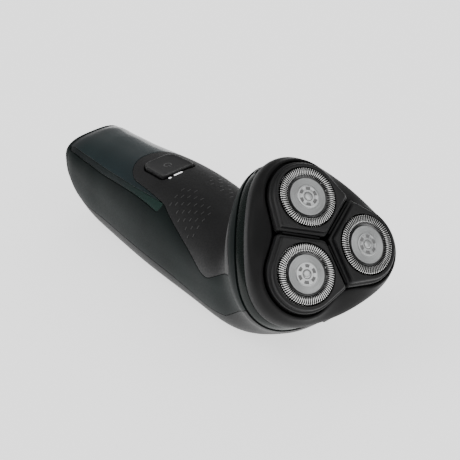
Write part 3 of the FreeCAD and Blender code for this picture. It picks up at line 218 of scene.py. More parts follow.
def solve_s(t, measure, value, start):
    """The s at which a measure of the skin's point reaches a value, for each angle t."""
    s = np.full(len(t), float(start))
    for _ in range(30):
        here = measure(skin(s, t))
        slope = (measure(skin(s + 0.02, t)) - here) / 0.02
        slope = np.where(np.abs(slope) < 1e-3, 1e-3, slope)
        s = np.clip(s + np.clip((value - here) / slope, -2, 2), 0, LENGTH)
    return np.stack([s, np.asarray(t, float)], -1)


# ---------------------------------------------------------------- plane curves
def spaced(points, step=0.8):
    """Straight runs between points, divided into steps of about the given length."""
    points = np.asarray(points, float)
    out = [points[:1]]
    for here, there in zip(points, points[1:]):
        count = max(1, round(np.linalg.norm(there - here) / step))
        out.append(here + (there - here) * (np.arange(1, count + 1) / count)[:, None])
    return np.concatenate(out)


def rounded(corners, radii, closed=True):
    """A polyline through corners, each rounded by a tangent arc."""
    corners = [np.array(corner, float) for corner in corners]
    count = len(corners)
    out = []
    for index, (corner, radius) in enumerate(zip(corners, radii)):
        if radius == 0 or (not closed and index in (0, count - 1)):
            out.append(corner[None])
            continue
        back = corners[index - 1] - corner
        ahead = corners[(index + 1) % count] - corner
        back, ahead = back / np.linalg.norm(back), ahead / np.linalg.norm(ahead)
        half = math.acos(np.clip(back @ ahead, -1, 1)) / 2
        centre = corner + (back + ahead) / np.linalg.norm(back + ahead) * radius / math.sin(half)
        start, end = corner + back * radius / math.tan(half), corner + ahead * radius / math.tan(half)
        steps = max(4, round(radius * (math.pi - 2 * half) / 0.35))
        angle_start = math.atan2(*(start - centre)[::-1])
        sweep = (math.atan2(*(end - centre)[::-1]) - angle_start + math.pi) % (2 * math.pi) - math.pi
        angles = angle_start + sweep * np.linspace(0, 1, steps + 1)
        out.append(centre + radius * np.stack([np.cos(angles), np.sin(angles)], -1))
    return np.concatenate(out)


def arc_through(a, b, c, step=0.8):
    """Points of the circular arc from a through b to c."""
    (ax, ay), (bx, by), (cx, cy) = a, b, c
    d = 2 * (ax * (by - cy) + bx * (cy - ay) + cx * (ay - by))
    ux = ((ax**2 + ay**2) * (by - cy) + (bx**2 + by**2) * (cy - ay) + (cx**2 + cy**2) * (ay - by)) / d
    uy = ((ax**2 + ay**2) * (cx - bx) + (bx**2 + by**2) * (ax - cx) + (cx**2 + cy**2) * (bx - ax)) / d
    radius = math.hypot(ax - ux, ay - uy)
    start = math.atan2(ay - uy, ax - ux)
    end = start + (math.atan2(cy - uy, cx - ux) - start + math.pi) % (2 * math.pi) - math.pi
    angles = np.linspace(start, end, max(2, round(abs(end - start) * radius / step)) + 1)
    return np.stack([ux + radius * np.cos(angles), uy + radius * np.sin(angles)], -1)


# ---------------------------------------------------------------- meshes
def build(name, points, faces, material, body, smooth=40.0, normals=None, uv=None):
    """A mesh object from points in millimetres, riding on a CAD body."""
    mesh = bpy.data.meshes.new(name)
    mesh.from_pydata((np.asarray(points, float) * MM).tolist(), [], faces)
    mesh.validate()
    mesh.polygons.foreach_set("use_smooth", [True] * len(mesh.polygons))
    if uv is not None:
        layer = mesh.uv_layers.new(name="UVMap")
        loops = np.zeros(len(mesh.loops), int)
        mesh.loops.foreach_get("vertex_index", loops)
        layer.data.foreach_set("uv", np.asarray(uv, float)[loops].ravel())
    if normals is not None:
        mesh.normals_split_custom_set_from_vertices(np.asarray(normals, float).tolist())
    else:
        mesh.set_sharp_from_angle(angle=math.radians(smooth))
    materials = material if isinstance(material, (list, tuple)) else [material]
    for entry in materials:
        mesh.materials.append(entry)
    piece = bpy.data.objects.new(name, mesh)
    bpy.context.scene.collection.objects.link(piece)
    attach(piece, body)
    return piece


def inside(points, loop):
    """Which points lie inside a closed polyline."""
    x, y = points[:, :1], points[:, 1:]
    ax, ay = loop[:, 0], loop[:, 1]
    bx, by = np.roll(ax, -1), np.roll(ay, -1)
    crosses = (ay > y) != (by > y)
    rise = np.where(np.abs(by - ay) < 1e-12, 1e-12, by - ay)
    return (crosses & (x < (bx - ax) * (y - ay) / rise + ax)).sum(1) % 2 == 1


def clearance(points, loop):
    """Distance of each point from a closed polyline."""
    best = np.full(len(points), 1e9)
    for here, there in zip(loop, np.roll(loop, -1, axis=0)):
        along = there - here
        share = np.clip(((points - here) @ along) / max(along @ along, 1e-12), 0, 1)
        best = np.minimum(best, ((points - here - share[:, None] * along) ** 2).sum(1))
    return np.sqrt(best)


SHELL_THICKNESS = 1.5
EDGE_GAP, EDGE_RADIUS = 0.05, 0.22
ROW_PITCH = 0.866  # between the rows of a triangular grid whose points are 1 apart


def triangulated(loops, spacing):
    """The (s, t) points and the triangles that fill the first closed outline, less the others."""
    flat = np.array([1.0, ROUND_SCALE])
    loops = [np.asarray(loop) * flat for loop in loops]
    loops = [loop[np.linalg.norm(loop - np.roll(loop, 1, axis=0), axis=1) > 0.02] for loop in loops]
    low, high = loops[0].min(0), loops[0].max(0)
    lines = int((high[1] - low[1]) / spacing / ROW_PITCH) + 1
    columns = int((high[0] - low[0]) / spacing) + 1
    grid = np.array([
        (low[0] + spacing * (column + 0.5 * (line % 2)), low[1] + spacing * ROW_PITCH * line)
        for line in range(lines) for column in range(columns)
    ])
    grid = grid[inside(grid, loops[0])]
    for loop in loops[1:]:
        grid = grid[~inside(grid, loop)]
    for loop in loops:
        grid = grid[clearance(grid, loop) > spacing * 0.6]
    verts, edges = [], []
    for loop in loops:
        first, count = len(verts), len(loop)
        verts += [Vector(point) for point in loop]
        edges += [(first + i, first + (i + 1) % count) for i in range(count)]
    verts += [Vector(point) for point in grid]
    made = delaunay_2d_cdt(verts, edges, [], 2, 1e-5)
    points = np.array([list(point) for point in made[0]])
    triangles = [list(face) for face in made[2]]
    for hole in loops[1:]:
        covered = inside(points[triangles].mean(1), hole)
        triangles = [face for face, over_hole in zip(triangles, covered) if not over_hole]
    return points / flat, triangles


def compacted(faces):
    """The vertices that faces use, and the faces numbered for those alone."""
    used = sorted({i for face in faces for i in face})
    lookup = {old: new for new, old in enumerate(used)}
    return used, [[lookup[i] for i in face] for face in faces]


def shell_piece(name, outer, holes, material, lift=None, spacing=1.25, edge=EDGE_RADIUS):
    """One piece of the handle's skin inside a closed (s, t) outline, with rounded edges and an inner face."""
    places, triangles = triangulated([outer] + holes, spacing)
    points, normals = skin(*places.T), skin_normals(*places.T)
    # weld the cut where an outline goes all the way round
    keys = {}
    welded = [keys.setdefault(tuple(np.round(point, 3)), index) for index, point in enumerate(points)]
    triangles = [[welded[i] for i in face] for face in triangles]
    used, triangles = compacted([face for face in triangles if len(set(face)) == 3])
    points, normals = points[used], normals[used]
    # triangles face outward
    a, b, c = points[triangles].transpose(1, 0, 2)
    facing = (np.cross(b - a, c - a) * normals[[face[0] for face in triangles]]).sum(1)
    triangles = [face if way > 0 else face[::-1] for face, way in zip(triangles, facing)]
    if lift is not None:
        points = points + normals * lift(points)[:, None]
    # rims: each boundary edge of the skin, in the direction that keeps the piece on its left
    directed = {(face[k], face[(k + 1) % 3]) for face in triangles for k in range(3)}
    border = [(a, b) for a, b in directed if (b, a) not in directed]
    away = np.zeros_like(points)
    for a, b in border:
        outward = np.cross(points[b] - points[a], normals[a] + normals[b])
        outward /= max(np.linalg.norm(outward), 1e-9)
        away[a] += outward
        away[b] += outward
    rim = sorted({i for pair in border for i in pair})
    place = {vertex: index for index, vertex in enumerate(rim)}
    away = away[rim] / np.maximum(np.linalg.norm(away[rim], axis=1), 1e-9)[:, None]
    points[rim] -= away * (EDGE_GAP + edge)
    all_points, all_normals = [points], [normals]
    for degrees in (30, 60, 90):
        turn = math.radians(degrees)
        drop = edge * (1 - math.cos(turn))
        all_points.append(points[rim] + away * edge * math.sin(turn) - normals[rim] * drop)
        all_normals.append(normals[rim] * math.cos(turn) + away * math.sin(turn))
    inner_rim = points[rim] + away * edge - normals[rim] * SHELL_THICKNESS
    all_points += [inner_rim, points - normals * SHELL_THICKNESS]
    all_normals += [away, -normals]
    rows = [np.array(rim)] + [len(points) + len(rim) * step + np.arange(len(rim)) for step in range(4)]
    inner = len(points) + 4 * len(rim) + np.arange(len(points))
    inner[rim] = rows[-1]
    faces = list(triangles)
    for upper, lower in zip(rows, rows[1:]):
        faces += [[upper[place[b]], upper[place[a]], lower[place[a]], lower[place[b]]] for a, b in border]
    faces += [inner[face[::-1]] for face in triangles]
    keep, faces = compacted(faces)
    all_points, all_normals = np.concatenate(all_points)[keep], np.concatenate(all_normals)[keep]
    return build(name, all_points, faces, material, "handle", normals=all_normals)


def band(name, rows, material, body, closed=False, capped=False, smooth=40.0, uv=None, face_material=None):
    """A surface through closed rows of points; closed joins the last to the first, capped fills the ends."""
    columns = len(rows[0])
    faces, slots = [], []
    for row in range(len(rows) - (0 if closed else 1)):
        below, above = row * columns, ((row + 1) % len(rows)) * columns
        for column in range(columns):
            after = (column + 1) % columns
            faces.append((below + column, below + after, above + after, above + column))
            slots.append(face_material(row, column) if face_material else 0)
    if capped:
        faces.append(tuple(range(columns))[::-1])
        faces.append(tuple(range((len(rows) - 1) * columns, len(rows) * columns)))
        slots += [0, 0]
    piece = build(name, np.concatenate(rows), faces, material, body, smooth=smooth, uv=uv)
    if face_material and len(piece.data.polygons) == len(slots):
        piece.data.polygons.foreach_set("material_index", slots)
    return piece


# ---------------------------------------------------------------- materials
class Look:
    """A material's nodes; every even value is set on the shader's own socket."""

    def __init__(self, name, colour, roughness, metallic=0.0, coat=0.0, coat_roughness=0.1, sheen=0.0,
                 anisotropic=0.0, specular=0.5):
        self.material = bpy.data.materials.new(name)
        self.material.use_nodes = True
        self.nodes, self.links = self.material.node_tree.nodes, self.material.node_tree.links
        self.inputs = self.nodes["Principled BSDF"].inputs
        self.inputs["Base Color"].default_value = (*colour, 1)
        self.inputs["Roughness"].default_value = roughness
        self.inputs["Metallic"].default_value = metallic
        self.inputs["Coat Weight"].default_value = coat
        self.inputs["Coat Roughness"].default_value = coat_roughness
        self.inputs["Sheen Weight"].default_value = sheen
        self.inputs["Anisotropic"].default_value = anisotropic
        self.inputs["Specular IOR Level"].default_value = specular

    def node(self, kind, output, **inputs):
        """A new node with each input set, or linked if it comes from another node; gives one output."""
        node = self.nodes.new("ShaderNode" + kind)
        for name, value in inputs.items():
            socket = node.inputs[name.replace("_", " ")]
            if isinstance(value, bpy.types.NodeSocket):
                self.links.new(value, socket)
            else:
                socket.default_value = value
        return node.outputs[output]

    def noise(self, scale, detail=3.0, coordinates="Object", stretch=(1, 1, 1)):
        """A cloudy number around a half; scale is in clouds for each metre."""
        where = self.node("TexCoord", coordinates)
        where = self.node("Mapping", "Vector", Vector=where, Scale=stretch)
        return self.node("TexNoise", "Fac", Vector=where, Scale=scale, Detail=detail)

    def span(self, value, low, high, start=0.3, end=0.7):
        """A number that runs from low to high while value runs from start to end."""
        limits = {"From_Min": start, "From_Max": end, "To_Min": low, "To_Max": high}
        return self.node("MapRange", "Result", Value=value, **limits)

    def ramp(self, value, stops):
        """Colour from a list of (position, colour) stops."""
        node = self.nodes.new("ShaderNodeValToRGB")
        elements = node.color_ramp.elements
        while len(elements) < len(stops):
            elements.new(0.5)
        for element, (position, colour) in zip(elements, stops):
            element.position = position
            element.color = (*colour, 1)
        self.links.new(value, node.inputs["Fac"])
        return node.outputs["Color"]

    def shade(self, value, colour, changes, places):
        """Base colour that a texture turns from a darker to a lighter shade of one colour."""
        shades = [tuple(min(1, channel * change) for channel in colour) for change in changes]
        self.links.new(self.ramp(value, list(zip(places, shades))), self.inputs["Base Color"])

    def gloss(self, value, low, high):
        """Roughness that a texture moves between two values."""
        self.links.new(self.span(value, low, high), self.inputs["Roughness"])

    def bump(self, height, distance, strength=0.5):
        """Small relief; distance is in millimetres."""
        normal = self.node("Bump", "Normal", Height=height, Distance=distance * MM, Strength=strength)
        self.links.new(normal, self.inputs["Normal"])


def moulded(name, colour, roughness, grain=0.02, scale=2200.0, variation=0.25, **more):
    """Moulded plastic: a fine spark-eroded grain, and faint cloudy change of colour and gloss."""
    look = Look(name, colour, roughness, **more)
    look.shade(look.noise(60.0, 2.0), colour, (1 - variation, 1 + variation), (0.3, 0.7))
    fine = look.noise(scale, 4.0)
    look.gloss(fine, roughness * 0.85, roughness * 1.15)
    look.bump(fine, grain)
    return look.material


def turned_steel(name, colour, roughness, rings=420.0, depth=0.012):
    """Steel with concentric turning marks; its UV runs outward and round the disc."""
    look = Look(name, colour, roughness, metallic=1.0, anisotropic=0.4)
    marks = look.noise(1.0, 3.0, "UV", (rings, 3.0, 1.0))
    look.shade(marks, colour, (0.86, 1.1), (0.35, 0.65))
    look.gloss(marks, roughness * 0.75, roughness * 1.3)
    look.bump(marks, depth, 0.6)
    return look.material


def ground_steel(name, colour, roughness, stretch=(40, 40, 900)):
    """Plain metal with fine straight marks."""
    look = Look(name, colour, roughness, metallic=1.0)
    marks = look.noise(9.0, 3.0, "Object", stretch)
    look.shade(marks, colour, (0.8, 1.1), (0.35, 0.65))
    look.gloss(marks, roughness * 0.8, roughness * 1.25)
    look.bump(marks, 0.01)
    return look.material


def gloss_panel(name, stops, start, end):
    """Clear-coated panel whose base colour changes along the handle between given stops, with fine metal
    flake under the coat; on the front panel the change is a painted reflection.
    """
    look = Look(name, stops[0][1], 0.36, coat=0.4, coat_roughness=0.05, metallic=0.15, specular=0.2)
    along = look.node("SeparateXYZ", "X", Vector=look.node("TexCoord", "Object"))
    # the base colour changes from tail to tip; on the front panel that change is a painted reflection
    colour_along = look.ramp(look.span(along, 0.0, 1.0, start * MM, end * MM), stops)
    flake = look.noise(3800.0, 1.0)
    sparkle = look.ramp(flake, [(0.35, (0.6, 0.6, 0.6)), (0.65, (1.5, 1.5, 1.5))])
    mix = look.nodes.new("ShaderNodeMix")
    mix.data_type = "RGBA"
    mix.blend_type = "MULTIPLY"
    mix.inputs["Factor"].default_value = 0.5
    look.links.new(colour_along, mix.inputs["A"])
    look.links.new(sparkle, mix.inputs["B"])
    look.links.new(mix.outputs["Result"], look.inputs["Base Color"])
    look.gloss(flake, 0.28, 0.42)
    return look.material


M = {
    # the front panel is lighter at the tail and darker towards the grip, a painted reflection
    "panel": gloss_panel("panel_gloss", [
        (0.0, (0.020, 0.024, 0.026)), (0.16, (0.008, 0.021, 0.023)), (0.6, (0.004, 0.017, 0.021)),
        (1.0, (0.003, 0.012, 0.014)),
    ], -77, -20),
    "panel_edge": gloss_panel("panel_edge_gloss", [
        (0.0, (0.003, 0.006, 0.007)), (0.6, (0.002, 0.009, 0.009)), (1.0, (0.003, 0.026, 0.019)),
    ], -77, -12),
    "side": moulded("side_satin", (0.0068, 0.0105, 0.0100), 0.46, grain=0.008, specular=0.05),
    "rear": moulded("rear_satin", (0.005, 0.0055, 0.0056), 0.46, grain=0.012, specular=0.1),
    "grip": moulded("grip_rubber", (0.0085, 0.0085, 0.009), 0.62, grain=0.05, scale=1500.0, specular=0.3,
                    sheen=0.05),
    "dash": moulded("grip_dashes", (0.055, 0.055, 0.055), 0.4, grain=0.01, specular=0.4),
    "collar": moulded("collar_gloss", (0.002, 0.0055, 0.0042), 0.26, grain=0.003, specular=0.14, coat=0.08,
                      coat_roughness=0.12),
    "housing": moulded("housing_satin", (0.0112, 0.0112, 0.0114), 0.5, grain=0.014, specular=0.12),
    "pad": moulded("pad_satin", (0.0115, 0.0115, 0.0119), 0.4, grain=0.016, specular=0.32),
    # the inner parts' own black, also used as painted shade on the power button's flange and side wall
    "black": moulded("inner_black", (0.004, 0.004, 0.0043), 0.55, grain=0.02, specular=0.2),
    "button": moulded("button_satin", (0.014, 0.0143, 0.0147), 0.36, grain=0.008, specular=0.35),
    "symbol": moulded("symbol_grey", (0.10, 0.10, 0.10), 0.45, grain=0.004),
    "guard": turned_steel("guard_steel", (0.88, 0.88, 0.87), 0.22),
    # the guard's inner ring: the same turned steel much darker, painted shade on the step down to the disc
    "guard_painted_shade": turned_steel("guard_steel_shaded", (0.16, 0.16, 0.16), 0.32),
    "disc": turned_steel("disc_steel", (0.47, 0.48, 0.48), 0.36, rings=260.0, depth=0.03),
    "insert": turned_steel("insert_steel", (0.60, 0.61, 0.61), 0.3, rings=160.0),
    # painted shadow at the bottoms of the guard's slots
    "slot": moulded("slot_shadow", (0.006, 0.006, 0.006), 0.6, specular=0.1),
    # painted shade in the centre insert's slot pockets and in the groove round its pin
    "insert_painted_shade": moulded("insert_painted_shade", (0.20, 0.20, 0.20), 0.5, specular=0.5),
    "steel": ground_steel("ground_steel", (0.6, 0.6, 0.6), 0.3),
    "rubber": moulded("seal_rubber", (0.012, 0.012, 0.012), 0.7, grain=0.03),
    "nylon": moulded("gear_nylon", (0.62, 0.60, 0.53), 0.45, grain=0.01, variation=0.06),
    "brass": ground_steel("cut_brass", (0.72, 0.52, 0.22), 0.28),
    "copper": ground_steel("wound_copper", (0.70, 0.32, 0.15), 0.34, (30, 30, 1500)),
    "board": moulded("board_green", (0.012, 0.10, 0.04), 0.4, grain=0.004, coat=0.5),
    "sleeve": moulded("battery_sleeve", (0.02, 0.17, 0.08), 0.3, grain=0.003, coat=0.4),
    "tray": moulded("tray_grey", (0.05, 0.05, 0.055), 0.55, grain=0.02),
}


# ---------------------------------------------------------------- seams of the handle, as (s, t) curves
NECK_SEAM, WING_LOW, WING_FRONT_DEPTH = -10.4, 2.6, 24.0
NOSE_X, NOSE_RADIUS, NOSE_FLARE = -28.0, 12.6, 14.2
WING_TOP, WING_HEEL = (-9.2, 36.4), (22.8, 23.6)
TAIL_EDGE = -76.2
PANEL_TAIL, PANEL_TIP = (-77.0, 12.7), (-10.6, 16.6)  # the panel's corners on the +Y side, in top view
PANEL_RADII = [3.0, 2.2, 2.2, 3.0]
PANEL_TIP_INNER = (PANEL_TIP[0], 12.0)
RIDGE_X, RIDGE_HALF_WIDTHS = [-77, -58, -43, -29, -18, -9], [11.2, 12.2, 13.2, 14.1, 14.2, 14.1]
BEVEL_DROP = 0.22
BUTTON_ORIGIN, BUTTON_SLOPE = np.array([-26.5, 0.0, 40.3]), math.radians(5.7)
BUTTON_X = np.array([math.cos(BUTTON_SLOPE), 0, math.sin(BUTTON_SLOPE)])
BUTTON_Z = np.array([-math.sin(BUTTON_SLOPE), 0, math.cos(BUTTON_SLOPE)])
BUTTON_VIEW = np.array([BUTTON_X, ACROSS])
BUTTON_HALF_LENGTH, BUTTON_HALF_TAIL, BUTTON_HALF_HEAD = 7.5, 7.0, 7.4
BUTTON_RADII, BUTTON_GAP = [4.0, 2.0, 2.0, 4.0], 0.62
SOCKET_Z, SOCKET_HALF_WIDTH, SOCKET_HALF_HEIGHT = 23.9, 5.6, 3.7


def mirrored(curve):
    """The same curve on the other side, in reverse order."""
    return np.stack([curve[::-1, 0], 180.0 - curve[::-1, 1]], -1)


def side_xz(depth, up):
    """Where a place on the head's middle plane lies in the side view."""
    point = head_point(0.0, up, depth)
    return point[0], point[2]


def rear_seam():
    """The rear cover's seam on the +Y side, from the collar to the tail's flat end."""
    bend_end = side_xz(52.0, NECK_SEAM)
    line = spaced([side_xz(COLLAR_DEPTH + 0.01, NECK_SEAM), bend_end])
    view = np.concatenate([
        line, arc_through(bend_end, (26.5, 11.0), (17, 10.4))[1:],
        arc_through((17, 10.4), (-23, 12.0), (-66, 10.2))[1:],
        arc_through((-66, 10.2), (-75.0, 12.6), (-81, 20.5), 0.5)[1:],
    ])
    view = view[view[:, 0] > SECTIONS[0][0] + 0.02]
    seam = locate(view, SIDE_VIEW, -89.0, 20.0)
    seam[0, 0] = LENGTH
    # across the flat end the seam is level, down to the plane of symmetry
    end_height = view[-1, 1] - SECTIONS[0][1]
    angles = np.linspace(seam[-1, 1], -90.0, 14)[1:]
    return seam, on_end(end_height / np.sin(np.radians(angles)), angles)


SEAM, END_SEAM = rear_seam()


def panel_outline():
    """The panel's outer edge on the +Y side, from the tail's middle to the tip."""
    (tail_x, tail_y), (tip_x, tip_y) = PANEL_TAIL, PANEL_TIP
    loop = rounded([(tail_x, -tail_y), (tip_x, -tip_y), PANEL_TIP, PANEL_TAIL], PANEL_RADII)
    return np.concatenate([[(tail_x, 0.0)], loop[loop[:, 1] > 0][::-1][:-1]])


def nose_curve():
    """The grip's nose on the +Y side in top view, from its tip at the plane of symmetry to the wing's top."""
    reach = math.hypot(WING_TOP[0] - NOSE_X, NOSE_FLARE)
    touch = math.atan2(NOSE_FLARE, WING_TOP[0] - NOSE_X) + math.acos(NOSE_RADIUS / reach)
    angles = np.linspace(math.pi, touch, 44)
    arc = np.stack([NOSE_X + NOSE_RADIUS * np.cos(angles), NOSE_RADIUS * np.sin(angles)], -1)
    return np.concatenate([arc, spaced([arc[-1], (WING_TOP[0], NOSE_FLARE)])[1:]])


def crossing(curve, a, b):
    """Index and place where a polyline crosses the line through a and b."""
    a, b = np.array(a, float), np.array(b, float)
    normal = np.array([a[1] - b[1], b[0] - a[0]])
    side = (curve - a) @ normal
    index = int(np.nonzero(side[:-1] * side[1:] <= 0)[0][-1])
    share = side[index] / (side[index] - side[index + 1])
    return index, curve[index] + share * (curve[index + 1] - curve[index])


def ridge_half_width(x):
    """Half width of the panel's flat face; its bevelled edge lies outside this."""
    return np.interp(x, RIDGE_X, RIDGE_HALF_WIDTHS)


NOSE = nose_curve()
PANEL = panel_outline()
meet_index, MEET = crossing(NOSE, PANEL_TIP, PANEL_TIP_INNER)
tip_end = int(np.argmax(PANEL[:, 0]))
PANEL_EDGE = spaced(PANEL[: tip_end + 1], 0.8)


def on_top(points):
    """The (s, t) of points seen in top view."""
    return locate(points, TOP_VIEW, 5.0, 175.0)


def wing_edge():
    """The grip's lower edge on the +Y side, from the wing's top to the front of the neck."""
    front_low = side_xz(WING_FRONT_DEPTH, WING_LOW)
    front_high = side_xz(WING_FRONT_DEPTH, 20.0)
    view = rounded([WING_TOP, WING_HEEL, front_low, front_high], [0, 7.0, 3.0, 0], closed=False)
    view = spaced(view[:-1], 0.8)
    curve = locate(view, SIDE_VIEW, -60.0, 80.0)
    top_angles = np.arange(math.ceil(curve[-1, 1] / 2) * 2 + 2, 90.1, 2.0)
    rise = solve_s(top_angles, lambda p: (HEAD_CENTRE - p) @ HEAD_AXIS, WING_FRONT_DEPTH, curve[-1, 0])
    return curve, rise


WING, WING_RISE = wing_edge()
NOSE_T = on_top(NOSE)
NOSE_T[0, 1] = 90.0
join = on_top(np.array([MEET]))[0]
PANEL_T = on_top(PANEL_EDGE[1:])
PANEL_T = np.concatenate([[[PANEL_T[0, 0], 90.0]], PANEL_T])
tail_cross = int(np.argmax((PANEL_EDGE[1:, 0] > TAIL_EDGE) & (PANEL_EDGE[1:, 1] > 1))) + 1
TIP_LINE = on_top(spaced([PANEL_EDGE[-1], MEET], 0.6)[1:])
NOSE_BACK = NOSE_T[: meet_index + 1]
NOSE_REST = np.concatenate([[join], NOSE_T[meet_index + 1:]])


def both_sides(curve):
    """A curve that starts on the plane of symmetry at t = 90, closed by its mirror image."""
    return np.concatenate([curve, mirrored(curve)[:-1]])


def make_handle():
    """The handle's shells: rear cover, side panels, front panel with its bevels, grip and tail cap."""
    tail_s = float(solve_s([math.ceil(SEAM[-1, 1]) - 40.0], lambda p: p[:, 0], TAIL_EDGE, 3.0)[0, 0])
    seam_tail = int(np.argmax(SEAM[:, 0] < tail_s))
    seam_side = np.concatenate([SEAM[:seam_tail], [[tail_s, np.interp(-tail_s, -SEAM[:, 0], SEAM[:, 1])]]])
    panel_tail_t = float(np.interp(tail_s, *PANEL_T[tail_cross - 3:tail_cross + 6].T))
    tail_up = np.stack([np.full(40, tail_s), np.linspace(seam_side[-1, 1], panel_tail_t, 40)], -1)[1:]

    # rear cover: both seams, joined across the tail's end and round the collar
    right = np.concatenate([SEAM, END_SEAM])
    left = np.stack([right[::-1, 0], -180.0 - right[::-1, 1]], -1)
    collar = np.stack([np.full(89, LENGTH), np.linspace(-180.0 - SEAM[0, 1], SEAM[0, 1], 91)[1:-1]], -1)
    rear = np.concatenate([right, left[1:], collar])
    pieces = [("rear_cover", shell_piece("rear_cover_skin", rear, [], M["rear"]))]

    # side panels: seam, tail edge, panel edge, grip edge and the rim round the collar
    rim = np.stack([np.full(60, LENGTH), np.linspace(90.0, SEAM[0, 1], 61)[:-1]], -1)
    top_line = spaced([(WING_RISE[-1, 0], 90.0), (LENGTH, 90.0)])[1:-1]
    side = np.concatenate([
        seam_side, tail_up, PANEL_T[tail_cross:], TIP_LINE[:-1], NOSE_REST[:-1], WING, WING_RISE,
        top_line, rim,
    ])
    pieces.append(("side_panel_left", shell_piece("side_skin_left", side, [], M["side"])))
    pieces.append(("side_panel_right", shell_piece("side_skin_right", mirrored(side), [], M["side"])))

    # front panel: flat face, then the bevelled edge down each side
    ridge_x = np.linspace(-76.9, -16.0, 80)
    ridge = np.stack([ridge_x, ridge_half_width(ridge_x)], -1)
    nose_hit = spaced([ridge[-1], NOSE[meet_index]], 0.8)
    ridge_t = on_top(np.concatenate([ridge, nose_hit[1:]]))
    ridge_t[0, 0] = PANEL_T[0, 0]
    back = np.stack([np.full(24, PANEL_T[0, 0]), np.linspace(90.0, ridge_t[0, 1], 25)[:-1]], -1)
    face_half = np.concatenate([back, ridge_t, NOSE_BACK[::-1][1:]])
    face = np.concatenate([face_half, mirrored(face_half)[1:-1]])
    pieces.append(("front_panel", shell_piece("front_panel_face", face, [], M["panel"], edge=0.15)))
    tip = np.concatenate([TIP_LINE, [NOSE_BACK[-1]]])
    bevel_start = np.nonzero(PANEL_T[:, 1] < ridge_t[0, 1] - 1)[0][0]
    outer_edge = np.concatenate([[ridge_t[0]], PANEL_T[bevel_start:], tip])
    bevel = np.concatenate([outer_edge[:-1], ridge_t[::-1][:-1]])

    def bevel_lift(points):
        """The bevel sinks from the ridge to the panel's edge."""
        outer = np.interp(points[:, 0], PANEL_EDGE[3:, 0], PANEL_EDGE[3:, 1])
        inner = ridge_half_width(points[:, 0])
        share = np.clip((np.abs(points[:, 1]) - inner) / np.maximum(outer - inner, 0.3), 0, 1)
        return -BEVEL_DROP * share**0.8

    for name, outline_ in (("panel_edge_left", bevel), ("panel_edge_right", mirrored(bevel))):
        edge = shell_piece(name, outline_, [], M["panel_edge"], lift=bevel_lift, spacing=0.8, edge=0.12)
        pieces.append((None, edge))

    # grip: the nose, the wings and the front of the neck, with the button's opening
    opening = rounded(button_corners(BUTTON_GAP), [radius + BUTTON_GAP for radius in BUTTON_RADII])
    opening_t = on_button(spaced(np.concatenate([opening, opening[:1]]), 0.7)[:-1])
    grip = both_sides(np.concatenate([NOSE_T[:-1], WING, WING_RISE]))
    pieces.append(("grip_cover", shell_piece("grip_skin", grip, [opening_t], M["grip"], edge=0.3)))

    # tail cap: round the end from seam to seam, less the panel and the charging socket
    hole = hole_curve()
    seam_end = np.concatenate([seam_side[-1:], SEAM[seam_tail:], END_SEAM])
    upward = np.concatenate([seam_end[::-1], tail_up[:-1], PANEL_T[:tail_cross][::-1]])
    around = np.concatenate([upward, mirrored(upward)[1:]])
    cap = np.concatenate([around, hole[::-1]])
    pieces.append(("tail_cap", shell_piece("tail_cap_skin", cap, [], M["side"], spacing=1.0, edge=0.15)))
    for node, piece in pieces:
        if node:
            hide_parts(node)


def button_corners(grow):
    """The power button's outline corners in its own plane, grown by a gap."""
    long, tail, head = BUTTON_HALF_LENGTH + grow, BUTTON_HALF_TAIL + grow, BUTTON_HALF_HEAD + grow
    return [(-long, -tail), (long, -head), (long, head), (-long, tail)]


def on_button(points):
    """The (s, t) of points given in the power button's own plane."""
    return locate(points + BUTTON_VIEW @ BUTTON_ORIGIN, BUTTON_VIEW, 30.0, 150.0)


def hole_curve():
    """The charging socket's opening on the tail's flat end, as s below zero for t from -90 to 270."""
    t = np.arange(-90.0, 270.1, 4.0)
    turn = np.radians(t)
    across, up = np.cos(turn), np.sin(turn)
    low = SECTIONS[0][1] - (SOCKET_Z - SOCKET_HALF_HEIGHT)
    high = (SOCKET_Z + SOCKET_HALF_HEIGHT) - SECTIONS[0][1]
    limit = np.where(up >= 0, high, low)
    reach = (np.abs(across / SOCKET_HALF_WIDTH) ** 8 + np.abs(up / limit) ** 8) ** (-1 / 8)
    return on_end(reach, t)


make_handle()


# ---------------------------------------------------------------- head: collar, housing and hinge
TURNS = np.linspace(0, 2 * math.pi, 192, endpoint=False)


def polar_row(radius, depth):
    """A closed row round the head axis; radius is given for TURNS, measured from the front lobe."""
    return head_point(radius * np.cos(TURNS), radius * np.sin(TURNS), depth)


FROM_LOBE = TURNS - math.pi / 2
HOUSING_LEVELS = {  # depth: lobe radius, side bulge, share of the scalloped rim's shape
    HOUSING_BASE: (15.6, 0.5, 0.0), 13.4: (16.3, 1.0, 0.0), 11.0: (16.5, 1.3, 0.0),
    8.4: (16.0, 1.2, 0.0), 6.5: (15.5, 1.1, 0.45), HOUSING_RIM: (15.0, 1.0, 1.0),
}


def housing_outer(depths):
    """Outer radii of the housing at each depth, as (depth, turn)."""
    levels = np.array(sorted(HOUSING_LEVELS))
    rim = trefoil(FROM_LOBE, 14.5, 19.3)
    known = []
    for depth in levels:
        lobe, bulge, share = HOUSING_LEVELS[depth]
        triangle = rounded_triangle(FROM_LOBE, lobe, bulge)
        known.append(triangle + (rim - triangle) * share)
    return spline_weights(levels, depths) @ np.array(known)


